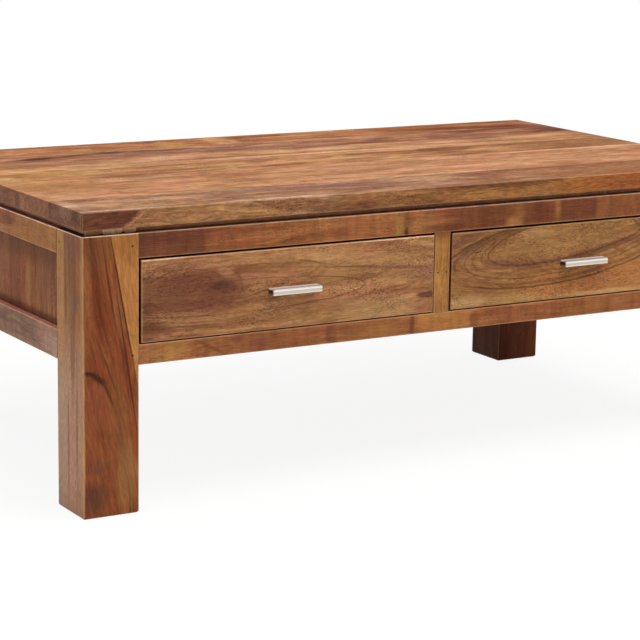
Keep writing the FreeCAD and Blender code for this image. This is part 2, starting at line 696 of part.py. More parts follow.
def make_left_guide():
    """The strip between the left legs that keeps the drawer straight, screwed to the runner."""
    body = add_body("left_guide")
    section = add_sketch(body, "XZ_Plane")
    add_rectangle(section, -s.guide_thickness, 0, 0, s.guide_height)
    add_pad(body, section, SIDE_SPAN, symmetric=True)
    round_edges(body, s.guide_edge_radius, lambda e: runs_along(e, "y") and same(e.CenterOfMass.x, 0)
                and same(e.CenterOfMass.z, s.guide_height))
    holes = add_sketch(body, "YZ_Plane")
    for y in guide_screw_y():
        add_circle(holes, y, s.lower_rail_height / 2, SCREW_HOLE_RADIUS)
    cut(body, holes, s.guide_thickness)
    place(body, -FRONT_SPAN / 2, MIDDLE, FRAME_BOTTOM)
    return body


def make_guide_screws():
    """Screws that hold the two guides to their runners."""
    screws = []
    for side, name in ((-1, "left"), (1, "right")):
        for index, y in enumerate(guide_screw_y()):
            seat = ((FRONT_SPAN / 2 + s.guide_thickness) * side, MIDDLE + y,
                    FRAME_BOTTOM + s.lower_rail_height / 2)
            screws.append(make_screw(f"guide_screw_{name}_{index}", s.screw_diameter, s.screw_head_diameter,
                                     s.screw_head_height, s.guide_thickness + s.screw_bite, seat,
                                     (-side, 0, 0)))
    return group("guide_screws", screws)


def make_top_screws():
    """Screws that hold the top to the three bearers."""
    screws = []
    length = BEARER_HEIGHT - s.counterbore_depth + s.screw_bite
    for column, x in enumerate((LEFT_BEARER_X, ZERO, -LEFT_BEARER_X)):
        for row, distance in screw_rows().items():
            seat = (x, FRONT + distance, OPENING_TOP + s.counterbore_depth)
            screws.append(make_screw(f"top_screw_{column}_{row}", s.screw_diameter, s.screw_head_diameter,
                                     s.screw_head_height, length, seat, (0, 0, 1)))
    return group("top_screws", screws)


def make_frame_pins():
    """Pins through the tenons of all rails, two to each face of a leg that shows."""
    pins = []
    head_x, head_y = s.length / 2 - s.pin_recess, s.depth / 2 - s.pin_recess
    inner_x, inner_y = FRONT_SPAN / 2 + s.pin_inset, SIDE_SPAN / 2 + s.pin_inset
    for side in (-1, 1):
        for end in (-1, 1):
            for level, (bottom, top) in enumerate(upright_spans(end < 0)):
                start = (inner_x * side, MIDDLE + head_y * end, (bottom + top) / 2)
                pins.append(make_rod(f"long_pin_{side}_{end}_{level}", s.pin_diameter, s.pin_length,
                                     start, (0, -end, 0)))
            for level, (bottom, top) in enumerate(upright_spans(False)):
                start = (head_x * side, MIDDLE + inner_y * end, (bottom + top) / 2)
                pins.append(make_rod(f"side_pin_{side}_{end}_{level}", s.pin_diameter, s.pin_length,
                                     start, (-side, 0, 0)))
    return group("frame_pins", pins)


def make_muntin_nails():
    """The two nails through the muntin into the divider."""
    nails = []
    for side in (-1, 1):
        start = (s.nail_spread / 2 * side, FRONT + s.pin_recess, OPENING_BOTTOM + s.opening_height / 2)
        nails.append(make_rod(f"muntin_nail_{side}", s.nail_diameter, s.nail_length, start, (0, 1, 0)))
    return group("muntin_nails", nails)


def make_drawer_stops():
    """Blocks on the runners behind the drawer sides."""
    stops = []
    for name, drawer_x in DRAWER_X.items():
        for row, x in enumerate((s.side_inset, FRONT_WIDTH - INNER_LEFT)):
            stop = doc.addObject("Part::Box", f"stop_{name}_{row}")
            stop.setExpression("Length", s.stop_width.text)
            stop.setExpression("Width", s.stop_length.text)
            stop.setExpression("Height", s.stop_height.text)
            place(stop, drawer_x + x + (s.side_thickness - s.stop_width) / 2,
                  FRONT + BOX_DEPTH + s.stop_gap, OPENING_BOTTOM)
            stops.append(stop)
    return group("drawer_stops", stops)


def place_in_drawer(piece, drawer_x):
    """Put a piece of a drawer at the lower left corner of its front."""
    place(piece, drawer_x, FRONT, OPENING_BOTTOM + s.gap_bottom)


def boss_places():
    """Middles of the pull's two bosses, across and up a drawer front."""
    return [(FRONT_WIDTH / 2 + BOSS_X * side, PULL_Z + BOSS_Z) for side in (-1, 1)]


def make_drawer_front(label):
    """A drawer front with eased edges, dadoes for the sides, the bottom's groove and the pull's holes."""
    body = add_body(label)
    face = add_sketch(body, "XZ_Plane")
    add_rectangle(face, 0, 0, FRONT_WIDTH, FRONT_HEIGHT)
    add_pad(body, face, s.front_thickness, backwards=True)
    round_edges(body, s.front_edge_radius, lambda e: same(e.CenterOfMass.y, 0))
    dadoes = add_sketch(body, "XZ_Plane", -s.front_thickness)
    for x in (s.side_inset, FRONT_WIDTH - INNER_LEFT):
        add_rectangle(dadoes, x - s.board_clearance, -s.gap_bottom,
                      x + s.side_thickness + s.board_clearance, SIDE_TOP + s.board_clearance)
    cut(body, dadoes, s.dado_depth, along_normal=True)
    groove = add_sketch(body, "XZ_Plane", -s.front_thickness)
    add_rectangle(groove, INNER_LEFT - s.bottom_groove, BOTTOM_Z - s.board_clearance,
                  INNER_RIGHT + s.bottom_groove, BOTTOM_Z + s.bottom_thickness + s.board_clearance)
    cut(body, groove, s.bottom_groove, along_normal=True)
    holes = add_sketch(body, "XZ_Plane")
    for x, z in boss_places():
        add_circle(holes, x, z, PULL_HOLE_RADIUS)
    cut(body, holes, s.front_thickness)
    return body


def side_nail_places():
    """Middles of the nails through a drawer side into the back, along and up the side."""
    span = SIDE_TOP - BACK_LOWER_EDGE
    return [(BACK_FACE + s.side_thickness / 2, BACK_LOWER_EDGE + span * share) for share in (0.2, 0.8)]


def make_drawer_side(label, right):
    """A drawer side with the bottom's groove, the back's dado and its nail holes."""
    body = add_body(label)
    outer = FRONT_WIDTH - s.side_inset if right else s.side_inset
    inner = INNER_RIGHT if right else INNER_LEFT
    board = add_sketch(body, "YZ_Plane", inner if right else outer)
    add_rectangle(board, s.front_thickness - s.dado_depth, SIDE_BOTTOM, BOX_DEPTH, SIDE_TOP)
    add_pad(body, board, s.side_thickness)
    round_edges(body, s.side_edge_radius, lambda e: runs_along(e, "y") and same(e.CenterOfMass.z, SIDE_TOP))
    groove = add_sketch(body, "YZ_Plane", inner)
    add_rectangle(groove, s.front_thickness - s.dado_depth, BOTTOM_Z - s.board_clearance,
                  BOX_DEPTH, BOTTOM_Z + s.bottom_thickness + s.board_clearance)
    cut(body, groove, s.bottom_groove, along_normal=right)
    dado = add_sketch(body, "YZ_Plane", inner)
    add_rectangle(dado, BACK_FACE - s.board_clearance, BOTTOM_Z,
                  BACK_FACE + s.side_thickness + s.board_clearance, SIDE_TOP)
    cut(body, dado, s.back_dado, along_normal=right)
    nails = add_sketch(body, "YZ_Plane", outer)
    for y, z in side_nail_places():
        add_circle(nails, y, z, DRAWER_NAIL_HOLE_RADIUS)
    cut(body, nails, s.side_thickness, along_normal=not right)
    return body


def make_drawer_back(label):
    """A drawer back between the sides, standing on the bottom, with its nail holes."""
    body = add_body(label)
    left = INNER_LEFT - s.back_dado + s.board_clearance
    right = INNER_RIGHT + s.back_dado - s.board_clearance
    board = add_sketch(body, "XZ_Plane", -BACK_FACE)
    add_rectangle(board, left, BACK_LOWER_EDGE, right, SIDE_TOP - s.side_edge_radius)
    add_pad(body, board, s.side_thickness, backwards=True)
    reach = s.drawer_nail_length + s.end_room - s.side_thickness + s.back_dado
    for edge, right_end in ((left, False), (right, True)):
        nails = add_sketch(body, "YZ_Plane", edge)
        for y, z in side_nail_places():
            add_circle(nails, y, z, DRAWER_NAIL_HOLE_RADIUS)
        cut(body, nails, reach, along_normal=not right_end)
    return body


def make_drawer_bottom(label):
    """A drawer bottom that slides into the grooves from behind, under the back."""
    body = add_body(label)
    board = add_sketch(body, "XY_Plane", BOTTOM_Z)
    reach = s.bottom_groove - s.board_clearance
    add_rectangle(board, INNER_LEFT - reach, s.front_thickness - reach, INNER_RIGHT + reach, BOX_DEPTH)
    add_pad(body, board, s.bottom_thickness)
    return body


def make_drawer_nails(label, drawer_x):
    """Nails through the sides into the back."""
    nails = []
    for side, edge in ((-1, s.side_inset), (1, FRONT_WIDTH - s.side_inset)):
        for row, (y, z) in enumerate(side_nail_places()):
            start = (drawer_x + edge, FRONT + y, OPENING_BOTTOM + s.gap_bottom + z)
            nails.append(make_rod(f"{label}_{side}_{row}", s.drawer_nail_diameter, s.drawer_nail_length,
                                  start, (-side, 0, 0)))
    return group(label, nails)


def make_pull(label, drawer_x):
    """A channel-shaped pull, open below: flange, web and front lip, with two screw bosses.

    Its own frame: the drawer front's face at Y zero, the middle of the pull at X and Z zero.
    """
    body = add_body(label)
    half = s.pull_height / 2
    section = add_sketch(body, "YZ_Plane")
    web, inside = half - s.pull_wall, s.pull_lip - s.pull_reach
    add_outline(section, [(0, -half), (0, half), (-s.pull_reach, half), (-s.pull_reach, -half),
                          (inside, -half), (inside, web), (-s.pull_wall, web), (-s.pull_wall, -half)])
    add_pad(body, section, s.pull_length, symmetric=True)

    def outer(edge):
        middle = edge.CenterOfMass
        return same(middle.y, -s.pull_reach) or (runs_along(edge, "y") and same(middle.z, half))

    round_edges(body, s.pull_edge_radius, outer)
    bosses = add_sketch(body, "XZ_Plane")
    holes = add_sketch(body, "XZ_Plane")
    for side in (-1, 1):
        add_circle(bosses, BOSS_X * side, BOSS_Z, s.boss_diameter / 2)
        add_circle(holes, BOSS_X * side, BOSS_Z, PULL_HOLE_RADIUS)
    add_pad(body, bosses, s.pull_reach - s.pull_lip / 2)
    cut(body, holes, s.pull_screw_bite + s.end_room, along_normal=True)
    place(body, drawer_x + FRONT_WIDTH / 2, FRONT, OPENING_BOTTOM + s.gap_bottom + PULL_Z)
    return body


def make_pull_screws(label, drawer_x):
    """Screws from inside the drawer, through its front, into the pull's bosses."""
    screws = []
    for index, (x, z) in enumerate(boss_places()):
        seat = (drawer_x + x, FRONT + s.front_thickness, OPENING_BOTTOM + s.gap_bottom + z)
        screws.append(make_screw(f"{label}_{index}", s.pull_screw_diameter, s.pull_screw_head_diameter,
                                 s.pull_screw_head_height, s.front_thickness + s.pull_screw_bite, seat,
                                 (0, -1, 0)))
    return group(label, screws)


def make_drawer(name, drawer_x):
    """All pieces of one drawer."""
    boards = [
        make_drawer_front(f"{name}_drawer_front"),
        make_drawer_side(f"{name}_drawer_left_side", False),
        make_drawer_side(f"{name}_drawer_right_side", True),
        make_drawer_back(f"{name}_drawer_back"),
        make_drawer_bottom(f"{name}_drawer_bottom"),
    ]
    for board in boards:
        place_in_drawer(board, drawer_x)
    fittings = [
        make_drawer_nails(f"{name}_drawer_nails", drawer_x),
        make_pull(f"{name}_pull", drawer_x),
        make_pull_screws(f"{name}_pull_screws", drawer_x),
    ]
    return boards + fittings


def make_sides():
    """Left legs, rails, panel, runner, bearer and guide, and their right-hand twins."""
    left_panel = make_panel("left_panel", SIDE_SPAN)
    place(left_panel, -s.length / 2, MIDDLE, SIDE_RAIL_TOP, turned(-90))
    left = [
        make_left_leg("left_front_leg", True),
        make_left_leg("left_back_leg", False),
        *make_left_rails(),
        left_panel,
        make_left_runner(),
        make_bearer("left_bearer", LEFT_BEARER_X, s.bearer_width),
        make_left_guide(),
    ]
    return left + [mirrored(piece, piece.Label.replace("left", "right")) for piece in left]


def make_middle():
    """The pieces on the table's middle line, and the back panel."""
    back_panel = make_panel("back_panel", FRONT_SPAN)
    place(back_panel, 0, BACK, SIDE_RAIL_TOP, turned(180))
    return [
        back_panel,
        make_muntin(),
        make_divider(),
        make_runner("centre_runner", ZERO, s.centre_runner_width),
        make_bearer("centre_bearer", ZERO, s.centre_bearer_width),
    ]


def make_frame_fittings():
    """Stops and fasteners of the frame."""
    return [
        make_drawer_stops(),
        make_frame_pins(),
        make_muntin_nails(),
        make_guide_screws(),
        make_top_screws(),
    ]


def check_pieces(pieces):
    """Stop if any object failed or any piece has no sound shape."""
    doc.recompute()
    failed = [item.Name for item in doc.Objects if {"Invalid", "Error"} & set(item.State)]
    if failed:
        raise RuntimeError(f"objects that failed: {failed}")
    for piece in pieces:
        if piece.Shape.isNull() or not piece.Shape.isValid() or not piece.Shape.Solids:
            raise RuntimeError(f"{piece.Label} has no sound shape")


def export_pieces(pieces):
    """Write each piece to a file with its own name."""
    os.makedirs("parts", exist_ok=True)
    for piece in pieces:
        piece.Shape.exportStep(os.path.join("parts", f"{piece.Label}.step"))
    print(f"{len(pieces)} pieces, {sum(len(piece.Shape.Solids) for piece in pieces)} solids")


all_pieces = make_top() + make_sides() + make_long_rails() + make_middle() + make_frame_fittings()
for drawer_name, left_edge in DRAWER_X.items():
    all_pieces += make_drawer(drawer_name, left_edge)
check_pieces(all_pieces)
export_pieces(all_pieces)
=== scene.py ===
"""Coffee table with two drawers: its finishes, light and camera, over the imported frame."""

import logging
import math
from dataclasses import dataclass, replace
from enum import Enum
from typing import ClassVar

import bpy
from mathutils import Euler, Matrix, Vector


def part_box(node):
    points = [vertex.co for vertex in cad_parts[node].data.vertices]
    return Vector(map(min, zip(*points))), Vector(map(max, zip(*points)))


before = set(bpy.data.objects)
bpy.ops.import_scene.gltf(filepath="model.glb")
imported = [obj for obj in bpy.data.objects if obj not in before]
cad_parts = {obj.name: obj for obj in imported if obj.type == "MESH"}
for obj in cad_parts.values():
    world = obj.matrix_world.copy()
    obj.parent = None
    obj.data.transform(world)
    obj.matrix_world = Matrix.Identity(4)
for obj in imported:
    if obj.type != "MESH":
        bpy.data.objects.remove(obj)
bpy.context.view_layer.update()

LOG = logging.getLogger("coffee_table")
MM = 0.001

Pair = tuple[float, float]
Triple = tuple[float, float, float]
Socket = bpy.types.NodeSocket

# Main places of the table in millimetres
FRONT = -292.75
LEFT = -550.0
SURFACE = 405.0
LEDGE = 374.0

# Half-length, in millimetres, of a mark that runs from end to end of the table
WHOLE = 3000.0

# Turns, in degrees, of a side mark that covers what lies above its plane, or in front of it
ABOVE = (0.0, 90.0, 0.0)
IN_FRONT = (0.0, 0.0, 90.0)

# Ranges of noise, which lies mostly between 0.3 and 0.7, over which a feature of the wood comes in
STREAK_DARK = (0.52, 0.63)
STREAK_PALE = (0.48, 0.37)
VEIN = (0.55, 0.74)
VEIN_BREAK = (0.64, 0.4)
PORE = (0.54, 0.68)
PORE_CROWD = (0.42, 0.6)
SHADE = (0.34, 0.64)
HUE = (0.36, 0.64)
SHEEN = (0.3, 0.7)

# How squarely a face lies across the grain, from where it starts to count as end grain to where it fully does
END_FACING = (0.6, 0.95)

# Odd steps and starts that carry each pattern of each board to a place of its own in the noise
PATTERN_STEP = (7.31, 3.17, 5.03)
PATTERN_START = (0.0, 11.0, 23.0)
DRIFT_STEP = (1.0, 1.0, 1.7)
VEIN_START = 40.0

# Roughness of most noise, and the refractive index of wood and its lacquer
NOISE_ROUGHNESS = 0.6
WOOD_IOR = 1.5


def linear(hex_colour: str) -> tuple[float, float, float, float]:
    """Turn an sRGB hex colour into linear RGBA.

    Args:
        hex_colour: colour as "#rrggbb".

    Returns:
        Red, green and blue as linear values, and an alpha of 1.
    """
    steps = [int(hex_colour[i:i + 2], 16) / 255.0 for i in (1, 3, 5)]
    red, green, blue = [s / 12.92 if s <= 0.04045 else ((s + 0.055) / 1.055) ** 2.4 for s in steps]
    return red, green, blue, 1.0


def metres(place: Triple) -> Triple:
    """Turn a place or size in millimetres into metres."""
    return place[0] * MM, place[1] * MM, place[2] * MM


def add_node(tree: bpy.types.NodeTree, kind: str, inputs: dict | None = None,
             stops: tuple[tuple[float, str], ...] = (), **settings: object) -> bpy.types.Node:
    """Add one shader node with its settings and links.

    Args:
        tree: node tree that gets the node.
        kind: node type without its "ShaderNode" start.
        inputs: value, or socket to link, for each input by name or number.
        stops: places and hex colours of a colour ramp, first and last included.
        settings: the node's own properties.

    Returns:
        The new node.
    """
    node = tree.nodes.new("ShaderNode" + kind)
    for name, value in settings.items():
        setattr(node, name, value)
    for key, value in (inputs or {}).items():
        if isinstance(value, Socket):
            tree.links.new(value, node.inputs[key])
        else:
            node.inputs[key].default_value = value
    for number, (place, colour) in enumerate(stops):
        elements = node.color_ramp.elements
        element = elements[number] if number < 2 else elements.new(place)
        element.position = place
        element.color = linear(colour)
    return node


def new_material(name: str) -> bpy.types.Material:
    """Add a material with an empty node tree.

    Args:
        name: the material's name.

    Returns:
        The new material.
    """
    material = bpy.data.materials.new(name)
    material.use_nodes = True
    material.node_tree.nodes.clear()
    return material


def dress(node: str, material: bpy.types.Material) -> None:
    """Give a CAD node its material.

    Args:
        node: the node's name.
        material: its finish.
    """
    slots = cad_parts[node].data.materials
    slots.clear()
    slots.append(material)
    LOG.info("%s: %s", node, material.name)


class Grain(Enum):
    """Which way a board's grain runs: the turn that lays the log's own axis along it."""

    LENGTHWISE = (0.0, 0.0, 0.0)
    CROSSWISE = (0.0, 0.0, 90.0)
    UPRIGHT = (0.0, -90.0, 0.0)


class Side(Enum):
    """Which of the two drawers."""

    LEFT = "left"
    RIGHT = "right"


class Form(Enum):
    """Shape of a mark in the wood."""

    PATCH = "inside of an ellipsoid"
    ARCH = "thin rim of an ellipsoid"
    SIDE = "one side of a plane"


class Pattern(Enum):
    """Patterns of one board, each with the number that sets it apart in the noise."""

    STRAY = 0.0
    RIPPLE = 1.0
    CLOUD = 2.0
    FIBRE = 3.0
    PORE = 4.0
    STREAK = 5.0
    FLECK = 6.0
    CURL = 7.0
    FLUSH = 8.0
    CROWD = 9.0
    LINE = 10.0


@dataclass(frozen=True)
class Mark:
    """One mark in a board: a knot, a dark streak, pale sapwood, a stave joint, a paled arris, or painted
    highlight or shade.

    Places and sizes are millimetres in the table's frame. A side mark covers what lies before its plane,
    along the turned X axis, or beyond it where its size is negative. Soft and ragged are shares of the
    mark's size, but millimetres for an arch. A smooth mark hides the pores below it.
    """

    colour: str
    place: Triple
    size: Triple
    form: Form = Form.PATCH
    strength: float = 0.8
    soft: float = 0.35
    turn: Triple = (0.0, 0.0, 0.0)
    ragged: float = 0.5
    smooth: bool = False

    @classmethod
    def on_front(cls, colour: str, place: Pair, size: Pair, strength: float = 0.6, rise: float = 0.0,
                 soft: float = 0.5, ragged: float = 0.6, depth: float = 20.0, smooth: bool = False) -> "Mark":
        """Place a patch on the front face.

        Args:
            colour: hex colour.
            place: X and Z of its middle.
            size: half its length and half its height.
            strength: share of the mark's colour.
            rise: degrees by which its length rises to the right.
            soft: softness of its rim.
            ragged: unevenness of its rim.
            depth: how far it reaches into the wood.
            smooth: whether it hides the pores.

        Returns:
            The mark.
        """
        middle = (place[0], FRONT, place[1])
        reach = (size[0], depth, size[1])
        return cls(colour, middle, reach, Form.PATCH, strength, soft, (0.0, -rise, 0.0), ragged, smooth)

    @classmethod
    def on_top(cls, colour: str, place: Pair, size: Pair, strength: float = 0.6, swing: float = 0.0,
               soft: float = 0.5, ragged: float = 0.7) -> "Mark":
        """Place a patch on the upper face.

        Args:
            colour: hex colour.
            place: X and Y of its middle.
            size: half its length and half its width.
            strength: share of the mark's colour.
            swing: degrees by which its length swings to the back at the right.
            soft: softness of its rim.
            ragged: unevenness of its rim.

        Returns:
            The mark.
        """
        depth = 14.0
        middle = (place[0], place[1], SURFACE)
        reach = (size[0], size[1], depth)
        return cls(colour, middle, reach, Form.PATCH, strength, soft, (0.0, 0.0, swing), ragged)

    @classmethod
    def on_left(cls, colour: str, place: Pair, size: Pair, strength: float = 0.6, soft: float = 0.5,
                depth: float = 3.0) -> "Mark":
        """Place a patch on the left side.

        Args:
            colour: hex colour.
            place: Y and Z of its middle.
            size: half its length and half its height.
            strength: share of the mark's colour.
            soft: softness of its rim.
            depth: how far it reaches into the wood.

        Returns:
            The mark.
        """
        middle = (LEFT, place[0], place[1])
        reach = (depth, size[0], size[1])
        return cls(colour, middle, reach, Form.PATCH, strength, soft)

    @classmethod
    def arch(cls, colour: str, place: Pair, size: Pair, strength: float, rise: float = 0.0,
             soft: float = 1.4, ragged: float = 3.0) -> "Mark":
        """Place a thin arch on the front face.

        Args:
            colour: hex colour.
            place: X and Z of its middle.
            size: half its length and half its height.
            strength: share of the mark's colour.
            rise: degrees by which its length rises to the right.
            soft: half the line's width in millimetres.
            ragged: unevenness of the line in millimetres.

        Returns:
            The mark.
        """
        through = 100000.0
        middle = (place[0], FRONT, place[1])
        reach = (size[0], through, size[1])
        return cls(colour, middle, reach, Form.ARCH, strength, soft, (0.0, -rise, 0.0), ragged)

    @classmethod
    def side(cls, colour: str, place: Triple, fade: float, strength: float, soft: float,
             turn: Triple = (0.0, 0.0, 0.0), ragged: float = 0.5) -> "Mark":
        """Colour all that lies on one side of a plane.

        Args:
            colour: hex colour.
            place: a point of the plane.
            fade: scale of its rim in millimetres, negative to colour what lies beyond the plane.
            strength: share of the mark's colour.
            soft: softness of its rim.
            turn: turn of the plane's own axis in degrees.
            ragged: unevenness of its rim.

        Returns:
            The mark.
        """
        return cls(colour, place, (fade, 1.0, 1.0), Form.SIDE, strength, soft, turn, ragged)


@dataclass(frozen=True)
class Tone:
    """Colours of one board's heartwood, from dark to pale, and of its veins and long streaks."""

    deep: str
    dark: str
    mid: str
    pale: str
    vein: str
    streak: str


HONEY = Tone("#925f3c", "#a7734d", "#b37f5a", "#c4936d", "#6e4429", "#8a583b")
FAWN = Tone("#8a5937", "#a3714b", "#b27f5b", "#c89870", "#69422a", "#855739")
AMBER = Tone("#7e4c2b", "#976440", "#a9764f", "#bf8c5d", "#5e3620", "#784a2f")
CHESTNUT = Tone("#754930", "#8c5e43", "#9f7152", "#b68a68", "#54321f", "#6c4531")
ROSE = Tone("#663620", "#88543a", "#a06b4c", "#b07e5f", "#4a281b", "#5f372a")
RUST = Tone("#7a431f", "#945a35", "#a66d44", "#ba855b", "#552b17", "#714027")
RUSSET = Tone("#66331c", "#7a3e21", "#874927", "#985a30", "#42200f", "#5e2b16")
COPPER = Tone("#784426", "#8f5430", "#9b6038", "#a97044", "#4f2915", "#6c3a21")
HAZEL = Tone("#7d4e2d", "#996641", "#a8744b", "#bb885b", "#543320", "#6e452b")
WALNUT = Tone("#724526", "#8a5a33", "#96653b", "#a7784b", "#54331d", "#684026")
TAN = Tone("#7b4528", "#905631", "#9b623b", "#ab7448", "#5a301a", "#734126")
GOLD = Tone("#7b4a1e", "#905c2a", "#9b6833", "#a87740", "#5f3717", "#7c4d27")
CLAY = Tone("#6c472f", "#7a5641", "#86624d", "#9d745c", "#553628", "#64442f")
CHERRY = Tone("#6e3717", "#8c5127", "#a3653c", "#b87b50", "#4c2611", "#67381d")
# Russet darkened as painted shade, for the leg that stands in the table's own shadow
PAINTED_SHADE_RUSSET = Tone("#50260c", "#5d2b0f", "#643014", "#703b1d", "#3a1806", "#4b200b")


@dataclass(frozen=True)
class Cut:
    """How a board lay in its log.

    The pith is the log's centre line. Its offset is from the board's own centre, in millimetres, and its tilt
    is the small turn, in degrees, that makes rings run out of a face as pointed arches.
    """

    grain: Grain = Grain.LENGTHWISE
    pith: Triple = (0.0, 20.0, -70.0)
    tilt: Triple = (0.0, 0.8, 0.5)
    seed: float = 0.0


@dataclass
class Board:
    """Shader nodes of one board: its tree, and the sockets of the place in the frame and in the log."""

    node: str
    cut: Cut
    tree: bpy.types.NodeTree
    place: Socket  # metres in the table's frame
    log: Socket  # millimetres, first axis along the grain

    def drawn(self, size: Pair, pattern: Pattern, detail: float = 2.0) -> Socket:
        """Add noise drawn out along the grain.

        Args:
            size: length and width of one streak in millimetres.
            pattern: which of the board's patterns this is.
            detail: finer octaves of the noise.

        Returns:
            Socket of a value from 0 to 1.
        """
        seed = self.cut.seed + pattern.value
        shift = tuple(seed * step + start for step, start in zip(PATTERN_STEP, PATTERN_START))
        spread = (1.0 / size[0], 1.0 / size[1], 1.0 / size[1])
        inputs = {0: self.log, 1: spread, 2: shift}
        stretched = add_node(self.tree, "VectorMath", inputs, operation="MULTIPLY_ADD")
        inputs = {"Vector": stretched.outputs[0], "Scale": 1.0, "Detail": detail,
                  "Roughness": NOISE_ROUGHNESS}
        return add_node(self.tree, "TexNoise", inputs).outputs[0]

    def edge_distance(self) -> Socket:
        """Add the distance from a point of the surface to the board's nearest arris.

        Returns:
            Socket of the distance in metres.
        """
        low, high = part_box(self.node)
        middle = tuple((low + high) / 2)
        half = tuple((high - low) / 2)
        away = add_node(self.tree, "VectorMath", {0: self.place, 1: middle}, operation="SUBTRACT")
        away = add_node(self.tree, "VectorMath", {0: away.outputs[0]}, operation="ABSOLUTE")
        inside = add_node(self.tree, "VectorMath", {0: half, 1: away.outputs[0]}, operation="SUBTRACT")
        axes = add_node(self.tree, "SeparateXYZ", {0: inside.outputs[0]}).outputs
        less = add_node(self.tree, "Math", {0: axes[0], 1: axes[1]}, operation="MINIMUM")
        more = add_node(self.tree, "Math", {0: axes[0], 1: axes[1]}, operation="MAXIMUM")
        third = add_node(self.tree, "Math", {0: more.outputs[0], 1: axes[2]}, operation="MINIMUM")
        inputs = {0: less.outputs[0], 1: third.outputs[0]}
        return add_node(self.tree, "Math", inputs, operation="MAXIMUM").outputs[0]

    def mark_mask(self, mark: Mark, noise: Socket) -> Socket:
        """Add the share of one mark at each point.

        Args:
            mark: the mark.
            noise: value from 0 to 1 that frays the mark's rim.

        Returns:
            Socket of a value from 0 to the mark's strength.
        """
        turn = tuple(math.radians(a) for a in mark.turn)
        inputs = {"Vector": self.place, "Location": metres(mark.place), "Rotation": turn,
                  "Scale": metres(mark.size)}
        local = add_node(self.tree, "Mapping", inputs, vector_type="TEXTURE").outputs[0]
        if mark.form is Form.SIDE:
            reach = add_node(self.tree, "SeparateXYZ", {0: local}).outputs[0]
            rim = mark.ragged / 2
        else:
            reach = add_node(self.tree, "VectorMath", {0: local}, operation="LENGTH").outputs[1]
            rim = 1.0 + mark.ragged / 2
        if mark.form is Form.ARCH:
            steep = add_node(self.tree, "VectorMath", {0: local, 1: mark.size}, operation="DIVIDE").outputs[0]
            steep = add_node(self.tree, "VectorMath", {0: steep}, operation="LENGTH").outputs[1]
            past = add_node(self.tree, "Math", {0: reach, 1: 1.0}, operation="SUBTRACT").outputs[0]
            past = add_node(self.tree, "Math", {0: past, 1: reach}, operation="MULTIPLY").outputs[0]
            reach = add_node(self.tree, "Math", {0: past, 1: steep}, operation="DIVIDE").outputs[0]
            rim = mark.ragged / 2
        inputs = {0: noise, 1: mark.ragged, 2: reach}
        frayed = add_node(self.tree, "Math", inputs, operation="MULTIPLY_ADD").outputs[0]
        past = add_node(self.tree, "Math", {0: frayed, 1: rim}, operation="SUBTRACT").outputs[0]
        inner = -mark.soft
        if mark.form is Form.ARCH:
            past = add_node(self.tree, "Math", {0: past}, operation="ABSOLUTE").outputs[0]
            inner = 0.0
        inputs = {"Value": past, "From Min": mark.soft, "From Max": inner, "To Max": mark.strength}
        return add_node(self.tree, "MapRange", inputs, interpolation_type="SMOOTHSTEP").outputs[0]


